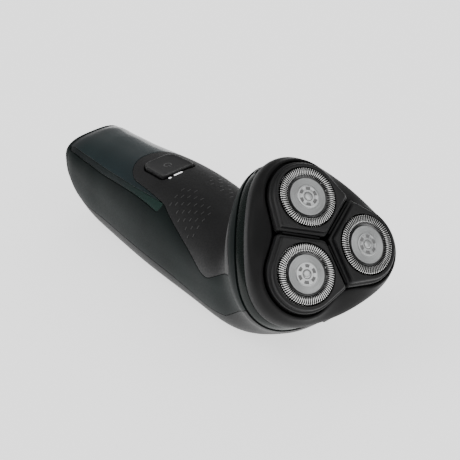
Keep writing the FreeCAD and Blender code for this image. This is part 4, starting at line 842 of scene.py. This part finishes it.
def make_housing():
    """The head's housing: a hollow shell that blends from the collar's outline to the scalloped rim."""
    def outside(entries):
        """Rows given as (depth, how far inside the outer surface)."""
        return [polar_row(housing_outer([depth])[0] - inset, depth) for depth, inset in entries]

    wall, lip_drop = 1.6, 15.25
    rows = [polar_row(housing_outer([15.2])[0] - wall, lip_drop)]
    # foot: a rounded lip, a groove and a thin bead, then the smooth side and the rounded rim
    rows += outside([
        (HOUSING_BASE, 0.5), (15.27, 0.25), (15.15, 0.08), (14.9, 0.0), (14.55, 0.0), (14.42, 0.08),
        (14.36, 0.4), (14.05, 0.4), (13.98, 0.08), (13.85, 0.0),
    ])
    rows += outside([(depth, 0.0) for depth in np.arange(13.4, 5.7, -0.35)])
    rows += outside([(5.62, 0.02), (5.4, 0.08), (5.27, 0.2), (5.21, 0.36)])
    # the opening for the pads
    opening = trefoil(FROM_LOBE, 13.7, 18.5)
    edge = [(0.3, 5.21), (0.12, 5.27), (0.03, 5.42), (0, 5.7), (0, 7.4), (0.15, 7.7)]
    rows += [polar_row(opening + grow, depth) for grow, depth in edge]
    rows += outside([(depth, wall) for depth in (8.4, 9.5, 11.0, 12.5, 14.0, 15.0)])
    housing = band("housing_shell", rows, M["housing"], "shaving_unit", closed=True)
    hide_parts("head_housing")


def make_collar():
    """The collar: a glossy band that narrows a little towards the housing."""
    low = rounded_triangle(FROM_LOBE, COLLAR_LOBE - 0.4, COLLAR_BULGE - 0.1)
    high = rounded_triangle(FROM_LOBE, 15.5, 0.4)
    foot, slope, inner = 19.7, 3.75, 2.4
    rows = [polar_row(high - inner, 19.95), polar_row(low - 0.4, 19.95), polar_row(low - 0.12, 19.9)]
    rows.append(polar_row(low, foot))
    for share in np.linspace(0.1, 1, 9):
        crown = 0.12 * math.sin(math.pi * share)
        rows.append(polar_row(low + (high - low) * share + crown, foot - slope * share))
    rim = [(0.08, 15.78), (0.25, 15.65), (0.5, COLLAR_TOP), (inner, COLLAR_TOP)]
    rows += [polar_row(high - inset, depth) for inset, depth in rim]
    collar = band("collar_band", rows, M["collar"], "handle", closed=True)
    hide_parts("collar_ring")


def knuckle(name, start, end, lug, material, body):
    """A rounded hinge knuckle across the head, drawn out into the lug that joins it to its shell."""
    hinge_up, hinge_depth, radius = -24.3, 15.45, 1.5
    turn = np.linspace(0, 2 * math.pi, 32, endpoint=False)
    toward = np.clip(np.cos(turn) * np.sign(lug), 0, 1)
    half = [(start, 0.8), (start + 0.05, 0.9), (start + 0.2, 1.0)]
    rows = []
    for across, size in half + [(end - 0.2, 1.0), (end - 0.05, 0.9), (end, 0.8)]:
        depth = hinge_depth - radius * size * np.cos(turn)
        rise = hinge_up + radius * size * np.sin(turn)
        rows.append(head_point(across, rise + 0.9 * toward**3, depth - toward**2 * lug))
    piece = band(name, rows, material, body, capped=True)


make_housing()
make_collar()
knuckle("hinge_knuckle_middle", -3.0, 3.0, -0.8, M["collar"], "handle")
knuckle("hinge_knuckle_left", -6.3, -3.3, 0.8, M["housing"], "shaving_unit")
knuckle("hinge_knuckle_right", 3.3, 6.3, 0.8, M["housing"], "shaving_unit")


# ---------------------------------------------------------------- shaving units
def unit_points(lobe, x, y, z):
    """Points in a shaving unit's frame: x outward, z along its own axis, from the guard's face."""
    turn = math.radians(LOBES[lobe])
    outward = math.cos(turn) * ACROSS + math.sin(turn) * HEAD_UP
    tangent = -math.sin(turn) * ACROSS + math.cos(turn) * HEAD_UP
    axis = math.cos(UNIT_TILT) * HEAD_AXIS + math.sin(UNIT_TILT) * outward
    sideways = math.cos(UNIT_TILT) * outward - math.sin(UNIT_TILT) * HEAD_AXIS
    x, y, z = np.broadcast_arrays(x, y, z)
    points = HEAD_CENTRE + LOBE_OFFSET * outward
    for distance, direction in ((x, sideways), (y, tangent), (z, axis)):
        points = points + np.multiply.outer(distance, direction)
    return points


def unit_ring(lobe, radius, turns, z):
    """A closed row round a shaving unit's own axis."""
    return unit_points(lobe, radius * np.cos(turns), radius * np.sin(turns), z)


def disc_uv(radius, turns):
    """Where a row of a turned disc lies in its texture: outward, and round it."""
    return np.stack([np.full(len(turns), radius / 20.0), turns / (2 * math.pi)], -1)


PAD_TURNS = np.linspace(0, 2 * math.pi, 264, endpoint=False)
PAD_HOLE = 11.0


def pad_radius(inset, softness=0.4):
    """A pad's outline round its own centre: an arc, two flanks and two gap edges, with softened corners."""
    radius, gap = 13.2 - inset, 0.8 + inset
    flank = flank_direction(radius, 18.0 - inset)
    folded = np.abs((PAD_TURNS + math.pi) % (2 * math.pi) - math.pi)
    gap_reach = LOBE_OFFSET * math.sin(math.pi / 3) - gap
    limits = [np.where(folded < flank, radius, radius / np.maximum(np.cos(folded - flank), 0.05))]
    for direction in (math.radians(150), math.radians(210)):
        limits.append(gap_reach / np.maximum(np.cos(PAD_TURNS - direction), 0.05))
    return -soft_highest(-np.array(limits), softness)


def pad_rows(lobe):
    """A pad: its skirt and stepped shoulder, the flat face, and the hole for the guard."""
    profile = [
        (0.3, -5.4), (0.08, -5.3), (0.0, -5.1), (0.0, -2.95), (0.06, -2.7), (0.22, -2.55), (0.42, -2.5),
        (0.72, -2.48), (0.84, -2.42), (0.9, -2.3), (0.92, -1.25), (1.0, -0.95), (1.2, -0.72), (1.5, -0.62),
    ]
    hole = [(PAD_HOLE, -0.6), (10.86, -0.66), (10.78, -0.8), (10.75, -1.0), (10.75, -5.2), (10.8, -5.4)]
    face = pad_radius(profile[-1][0])
    rows = [unit_ring(lobe, PAD_HOLE, PAD_TURNS, -5.4)]
    rows += [unit_ring(lobe, pad_radius(inset), PAD_TURNS, z) for inset, z in profile]
    for share in (0.25, 0.5, 0.75):
        rows.append(unit_ring(lobe, face + (PAD_HOLE - face) * share, PAD_TURNS, -0.6))
    return rows + [unit_ring(lobe, radius, PAD_TURNS, z) for radius, z in hole]


SLOTS = 78
SLOT_PARTS = (0.0, 0.03, 0.33, 0.36, 0.97)  # within one slot's share of the turn: the bar, then the slot
GUARD_TURNS = np.add.outer(np.arange(SLOTS), SLOT_PARTS).ravel() * 2 * math.pi / SLOTS
IS_SLOT = np.tile([0.0, 0.0, 0.0, 1.0, 1.0], SLOTS)
# inside the second radius the guard takes the darker steel as painted shade
GUARD_RADIUS, GUARD_PAINTED_SHADE_RADIUS = 10.4, 7.9
GUARD_PROFILE = [  # radius, height, how deep the slots are cut there
    (9.9, -5.9, 0), (10.4, -5.9, 0), (10.4, -2.1, 0), (10.4, -2.0, 0), (10.4, -1.95, 0.4),
    (10.4, -0.75, 0.4), (10.34, -0.42, 0.45), (10.18, -0.16, 0.5), (9.95, -0.03, 0.5), (9.7, 0.0, 0.5),
    (9.2, 0.0, 0.5), (8.6, 0.0, 0.5), (8.2, -0.05, 0.5), (7.9, -0.22, 0.4), (7.35, -0.66, 0.3),
    (7.25, -0.74, 0), (6.95, -0.92, 0), (6.83, -0.96, 0), (6.75, -1.0, 0),
]


def guard_rows(lobe):
    """A guard: skirt, slotted outer edge and track, and the step down to the centre disc."""
    rows, uv = [], []
    slant = 0.045  # radians that a slot leans over its length
    for radius, height, cut in GUARD_PROFILE:
        outward = np.clip((radius - 9.9) / 0.5, 0, 1)
        depth = IS_SLOT * cut
        turns = GUARD_TURNS + slant * (GUARD_RADIUS - radius) / 2.4
        rows.append(unit_ring(lobe, radius - depth * outward, turns, height - depth * (1 - outward)))
        uv.append(disc_uv(radius, GUARD_TURNS))
    return rows, np.concatenate(uv)


def guard_steel_or_painted_shade(row, column):
    """Which material a face of the guard has: 0 polished steel, 1 painted shadow down in a slot, 2 the inner
    ring, darker steel as painted shade.
    """
    here, after = GUARD_PROFILE[row], GUARD_PROFILE[min(row + 1, len(GUARD_PROFILE) - 1)]
    if column % len(SLOT_PARTS) >= 2 and here[2] > 0 and after[2] > 0:
        return 1
    return 2 if here[0] <= GUARD_PAINTED_SHADE_RADIUS else 0


def disc_rows(lobe):
    """The disc inside the guard's track: a raised rim and shallow turned grooves."""
    profile = [(6.62, -1.1), (6.64, -0.5), (6.6, -0.38), (6.47, -0.33)]
    for radius in np.arange(6.3, 4.3, -0.3):
        profile += [(radius, -0.33), (radius - 0.1, -0.37), (radius - 0.2, -0.33)]
    profile += [(4.12, -0.33), (4.12, -0.75)]
    turn = np.linspace(0, 2 * math.pi, 96, endpoint=False)
    rows = [unit_ring(lobe, radius, turn, height) for radius, height in profile]
    return rows, np.concatenate([disc_uv(radius, turn) for radius, _ in profile])


def make_unit(lobe):
    """One shaving unit: pad, guard and centre insert."""
    body = f"pad_{lobe}"
    pad = band(f"shaving_pad_{lobe}_shell", pad_rows(lobe), M["pad"], body, closed=True, smooth=50)
    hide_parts(f"shaving_pad_{lobe}")
    rows, uv = guard_rows(lobe)
    # the second and third materials are painted shade: in the slots and on the inner ring
    materials_with_painted_shade = [M["guard"], M["slot"], M["guard_painted_shade"]]
    track = band(f"guard_{lobe}_track", rows, materials_with_painted_shade, body, uv=uv, face_material=guard_steel_or_painted_shade, smooth=30)
    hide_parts(f"guard_{lobe}")
    rows, uv = disc_rows(lobe)
    disc = band(f"guard_{lobe}_disc", rows, M["disc"], body, uv=uv)
    make_insert(lobe, body)


def make_insert(lobe, body):
    """The centre insert: a thin cap with six curved slots round a domed pin."""
    turn = np.linspace(0, 2 * math.pi, 144, endpoint=False)
    pocket = (np.degrees(turn) % 60 > 13) & (np.degrees(turn) % 60 < 47)
    profile = [  # radius, height, and 1 where the slots are cut or 2 in the groove round the pin; both are painted grey as shade
        (4.1, -0.7, 0), (4.08, -0.16, 0), (4.0, -0.08, 0), (3.85, -0.05, 0), (3.5, -0.05, 0),
        (3.42, -0.05, 0), (3.36, -0.06, 1), (2.3, -0.06, 1), (2.24, -0.05, 0), (2.0, -0.05, 0),
        (1.72, -0.05, 0), (1.66, -0.14, 2), (1.36, -0.14, 2), (1.28, -0.06, 0), (1.05, 0.0, 0),
        (0.6, 0.05, 0), (0.15, 0.06, 0),
    ]
    rows, uv = [], []
    for radius, height, cut in profile:
        z = height - 0.14 * (cut == 1) * pocket
        rows.append(unit_ring(lobe, radius, turn, z))
        uv.append(disc_uv(radius, turn))
    cuts = [entry[2] for entry in profile]

    # the slots' pockets and the groove round the pin are painted grey as shade
    def shade(row, column):
        after = cuts[min(row + 1, len(cuts) - 1)]
        return 1 if cuts[row] == after == 2 or (cuts[row] == after == 1 and pocket[column]) else 0

    materials_with_painted_shade = [M["insert"], M["insert_painted_shade"]]
    insert = band(f"guard_insert_{lobe}_cap", rows, materials_with_painted_shade, body, capped=True, uv=np.concatenate(uv),
                  face_material=shade, smooth=35)
    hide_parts(f"guard_insert_{lobe}")


for lobe in LOBES:
    make_unit(lobe)


# ---------------------------------------------------------------- power button, its symbol and the lights
def button_point(x, y, z):
    """Points in the power button's frame; z is how far they stand above the grip."""
    x, y, z = np.broadcast_arrays(x, y, z)
    along, sideways = np.multiply.outer(x, BUTTON_X), np.multiply.outer(y, ACROSS)
    return BUTTON_ORIGIN + along + sideways + np.multiply.outer(z, BUTTON_Z)


def resampled(loop, count):
    """A closed polyline with evenly spaced points."""
    closed = np.concatenate([loop, loop[:1]])
    length = np.concatenate([[0], np.cumsum(np.linalg.norm(np.diff(closed, axis=0), axis=1))])
    at = np.linspace(0, length[-1], count, endpoint=False)
    return np.stack([np.interp(at, length, closed[:, axis]) for axis in range(2)], -1)


def make_button():
    """The power button's cap: a flange under the grip, the side wall and a softly dished top."""
    outline_ = resampled(rounded(button_corners(0.0), BUTTON_RADII), 128)
    tangent = np.roll(outline_, -1, axis=0) - np.roll(outline_, 1, axis=0)
    outward = np.stack([tangent[:, 1], -tangent[:, 0]], -1) / np.linalg.norm(tangent, axis=1)[:, None]
    wall = [(-0.9, -3.9), (-0.9, -3.4), (0.0, -3.3), (0.0, -0.1)]
    edge = [(0.04, 0.1), (0.16, 0.25), (0.36, 0.3), (0.6, 0.29), (0.85, 0.24), (1.2, 0.17)]
    loops = [(outline_ - outward * inset, z) for inset, z in wall + edge]
    top = loops[-1][0]
    loops += [(top * share, z) for share, z in ((0.8, 0.13), (0.55, 0.07), (0.3, 0.04), (0.02, 0.03))]
    # the flange and the side wall take the inner black as painted shade, so the gap round the cap looks dark
    cap = band("button_cap", [button_point(*loop.T, z) for loop, z in loops], [M["button"], M["black"]],
               "power_button", capped=True, face_material=lambda row, column: 1 if row < len(wall) else 0)
    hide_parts("power_button")
    make_power_symbol()


def make_power_symbol():
    """An open ring and a short bar, printed just above the cap's dished face."""
    radius, half_width, top, thickness = 1.4, 0.2, 0.09, 0.1
    turn = np.radians(np.linspace(35, 325, 40))
    inner, outer = (
        button_point(reach * np.cos(turn), reach * np.sin(turn), top)
        for reach in (radius - half_width, radius + half_width))
    sunk = thickness * BUTTON_Z
    points = np.concatenate([inner, outer, inner - sunk, outer - sunk])
    count = len(turn)
    low = 2 * count
    faces = []
    for i in range(count - 1):
        a, b, c, d = i, i + 1, count + i + 1, count + i
        faces += [(a, d, c, b), (low + a, low + b, low + c, low + d)]
        faces += [(d, low + d, low + c, c), (a, b, low + b, low + a)]
    for i in (0, count - 1):
        end = (i, count + i, low + count + i, low + i)
        faces.append(end if i else end[::-1])
    symbol = build("power_symbol_ring", points, faces, M["symbol"], "power_button")
    start, end, half = 0.5, 1.95, 0.17
    corners = [(start, -half), (end, -half), (end, half), (start, half)]
    points = np.array([button_point(x, y, z) for z in (-0.02, top) for x, y in corners])
    faces = [(3, 2, 1, 0), (4, 5, 6, 7), (0, 1, 5, 4), (1, 2, 6, 5), (2, 3, 7, 6), (3, 0, 4, 7)]
    bar = build("power_symbol_bar", points, faces, M["symbol"], "power_button")


def pill(name, place, along, length, width, height, material, sink):
    """A small rounded bar that stands on the handle's skin at a place (s, t), in line with along."""
    centre, up = skin(*place.T)[0], skin_normals(*place.T)[0]
    turn = np.linspace(0, 2 * math.pi, 24, endpoint=False)
    straight = np.where(np.cos(turn) >= 0, 1, -1) * (length / 2 - width)
    aside = np.cross(up, along)

    def row(scale, z):
        lengthwise = np.multiply.outer(straight + width * np.cos(turn) * scale, along)
        return centre + lengthwise + np.multiply.outer(width * np.sin(turn) * scale, aside) + z * up

    sizes = [(1.0, -sink), (1.0, height * 0.4), (0.86, height * 0.8), (0.55, height), (0.1, height * 1.02)]
    piece = band(name, [row(*size) for size in sizes], material, "handle", capped=True, smooth=60)
    return piece


def make_lights():
    """The two light bars in the grip, just past the button."""
    glow = Look("light_bar", (0.95, 0.97, 0.96), 0.3, coat=0.6)
    glow.inputs["Emission Color"].default_value = (1.0, 1.0, 1.0, 1)
    glow.inputs["Emission Strength"].default_value = 1.1
    glow.gloss(glow.noise(900.0), 0.25, 0.4)
    x = BUTTON_HALF_LENGTH + BUTTON_GAP + 0.5
    for name, start, length in (("light_bar_short", -5.8, 1.3), ("light_bar_long", -3.3, 3.9)):
        place = on_button(np.array([[x, start + length / 2]]))
        piece = pill(name, place, ACROSS, length, 0.36, 0.1, glow.material, 0.8)
        if "long" in name:
            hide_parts("light_guide")


DASH_X, DASH_AWAY = -9.0, 8.0  # the fan's first dash: along the handle, and degrees from the middle
DASH_PITCH, DASH_STEP = 2.35, 9.5
DASH_LENGTH, DASH_WIDTH, DASH_HEIGHT = 1.7, 0.2, 0.1


def make_dashes():
    """The grip's fans of short raised dashes on both sides of the thumb's place."""
    for row, column, side in itertools.product(range(8), range(8), (-1, 1)):
        away = DASH_AWAY + DASH_STEP * (column + 0.5 * (row % 2)) + 1.2 * row
        if away > 62 - 2.0 * abs(row - 4) or row + column < 1:
            continue
        t = 90.0 - side * away
        x = DASH_X + DASH_PITCH * row + 0.05 * away
        place = solve_s([t], lambda p: p[:, 0], x, 70.0)
        here = skin(*place.T)[0]
        wing_height = np.interp(here[0], [WING_TOP[0], WING_HEEL[0]], [WING_TOP[1], WING_HEEL[1]])
        beside_nose = here[0] < WING_TOP[0] and abs(here[1]) > NOSE_FLARE - 2.5
        if beside_nose or here[2] < wing_height + 1.8:
            continue
        along = skin(*(place + [0, 0.5]).T)[0] - skin(*(place - [0, 0.5]).T)[0]
        along /= np.linalg.norm(along)
        fade = 1.0 - 0.3 * away / 78
        name = f"grip_dash_{'right' if side < 0 else 'left'}_{row}_{column}"
        pill(name, place, along, DASH_LENGTH * fade, DASH_WIDTH, DASH_HEIGHT, M["dash"], 0.2)


make_button()
make_lights()
make_dashes()


# ---------------------------------------------------------------- release button
def make_release():
    """The release button: a softly rounded bar in the collar's front."""
    half, bottom, top, depth_low, depth_high = 4.6, 27.6, 31.8, 19.0, 16.6
    turn = np.linspace(0, 2 * math.pi, 96, endpoint=False)
    middle_depth, half_depth = (depth_low + depth_high) / 2, (depth_low - depth_high) / 2
    squareness = 0.35
    across = half * np.sign(np.cos(turn)) * np.abs(np.cos(turn)) ** squareness
    deep = half_depth * np.sign(np.sin(turn)) * np.abs(np.sin(turn)) ** squareness

    def row(scale, up):
        crown = 0.5 * (across / half) ** 2
        narrowing = 1 - (1 - scale) * half_depth / half
        return head_point(across * narrowing, up - crown, middle_depth + deep * scale)

    sizes = [(1.0, bottom), (1.0, top - 0.5), (0.93, top - 0.25), (0.75, top - 0.08), (0.4, top), (0.05, top)]
    rows = [row(*size) for size in sizes]
    piece = band("release_bar", rows, M["collar"], "release_button", capped=True, smooth=50)
    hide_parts("release_button")


make_release()


# ---------------------------------------------------------------- CAD nodes that keep their shape
INNER = {
    "hinge_pin": "steel", "drive_deck": "black", "gear_plate": "nylon", "motor_can": "steel",
    "motor_end_cap": "black", "motor_armature": "copper", "motor_shaft": "steel", "motor_pinion": "brass",
    "retaining_frame": "black", "chassis": "tray", "battery": "sleeve", "battery_contacts": "steel",
    "circuit_board": "board", "push_switch": "black", "charge_socket": "black", "socket_pins": "brass",
    "case_screws": "steel", "deck_screws": "steel", "motor_screws": "steel",
}
for lobe in LOBES:
    INNER.update({
        f"spindle_seal_{lobe}": "rubber", f"drive_gear_{lobe}": "nylon", f"drive_spindle_{lobe}": "nylon",
        f"pad_pivot_pins_{lobe}": "steel", f"cutter_{lobe}": "steel",
    })
for node, material in INNER.items():
    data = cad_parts[node].data
    data.materials.clear()
    data.materials.append(M[material])


# ---------------------------------------------------------------- camera, floor and light
def make_camera():
    """A long lens that looks down on the head from its front and left side."""
    sight = np.array([-0.6347, 0.5364, -0.5563])
    right = np.array([0.6455, 0.7638, 0.0])
    frame_size, focal, distance = 460.0, 1776.0, 600.0  # the first two in the picture's own units
    aim_aside, aim_up, roll = 98.1, 8.0, math.radians(-0.6)
    above = np.cross(right, sight)
    right, above = (
        right * math.cos(roll) + above * math.sin(roll), above * math.cos(roll) - right * math.sin(roll))
    look = sight - right * (aim_aside / focal) + above * (aim_up / focal)
    look /= np.linalg.norm(look)
    right = right - (right @ look) * look
    right /= np.linalg.norm(right)
    above = np.cross(right, look)
    data = bpy.data.cameras.new("camera")
    data.sensor_width = 36.0
    data.lens = focal * data.sensor_width / frame_size
    data.clip_start, data.clip_end = 0.01, 20.0
    camera = bpy.data.objects.new("camera", data)
    matrix = Matrix((Vector(right), Vector(above), Vector(-look))).transposed().to_4x4()
    matrix.translation = Vector((HEAD_CENTRE - sight * distance) * MM)
    camera.matrix_world = matrix
    bpy.context.scene.collection.objects.link(camera)
    bpy.context.scene.camera = camera


def make_floor():
    """A plain pale floor that glows a little, so that it stays pale all the way out."""
    pale = Look("floor", (0.93, 0.93, 0.93), 0.6, specular=0.1)
    pale.inputs["Emission Color"].default_value = (1.0, 1.0, 1.0, 1)
    pale.inputs["Emission Strength"].default_value = 1.35
    shades = [(0.0, (0.92, 0.92, 0.92)), (1.0, (0.94, 0.94, 0.94))]
    pale.links.new(pale.ramp(pale.noise(4.0), shades), pale.inputs["Base Color"])
    mesh = bpy.data.meshes.new("floor")
    half = 3.0
    corners = [(-half, -half, 0), (half, -half, 0), (half, half, 0), (-half, half, 0)]
    mesh.from_pydata(corners, [], [(0, 1, 2, 3)])
    mesh.materials.append(pale.material)
    floor = bpy.data.objects.new("floor", mesh)
    bpy.context.scene.collection.objects.link(floor)


def area_light(name, place, target, size, power):
    """A rectangular lamp that faces its target."""
    data = bpy.data.lights.new(name, "AREA")
    data.shape = "RECTANGLE"
    data.size, data.size_y = size
    data.energy = power
    light = bpy.data.objects.new(name, data)
    direction = Vector(target) - Vector(place)
    light.rotation_euler = direction.to_track_quat("-Z", "Y").to_euler()
    light.location = place
    bpy.context.scene.collection.objects.link(light)


def make_light():
    """An even pale surround and three soft lamps."""
    world = bpy.data.worlds.new("studio")
    world.use_nodes = True
    background = world.node_tree.nodes["Background"]
    background.inputs["Color"].default_value = (1.0, 1.0, 1.0, 1)
    background.inputs["Strength"].default_value = 0.38
    bpy.context.scene.world = world
    area_light("key", (-0.25, -0.75, 0.95), (0.0, 0, 0.03), (0.9, 0.9), 4.5)
    area_light("fill", (0.9, 0.35, 0.8), (0.05, 0, 0.04), (0.8, 0.8), 2.6)
    area_light("rim", (-0.4, 0.7, 0.5), (0.0, 0, 0.04), (0.6, 0.4), 1.0)


make_camera()
make_floor()
make_light()
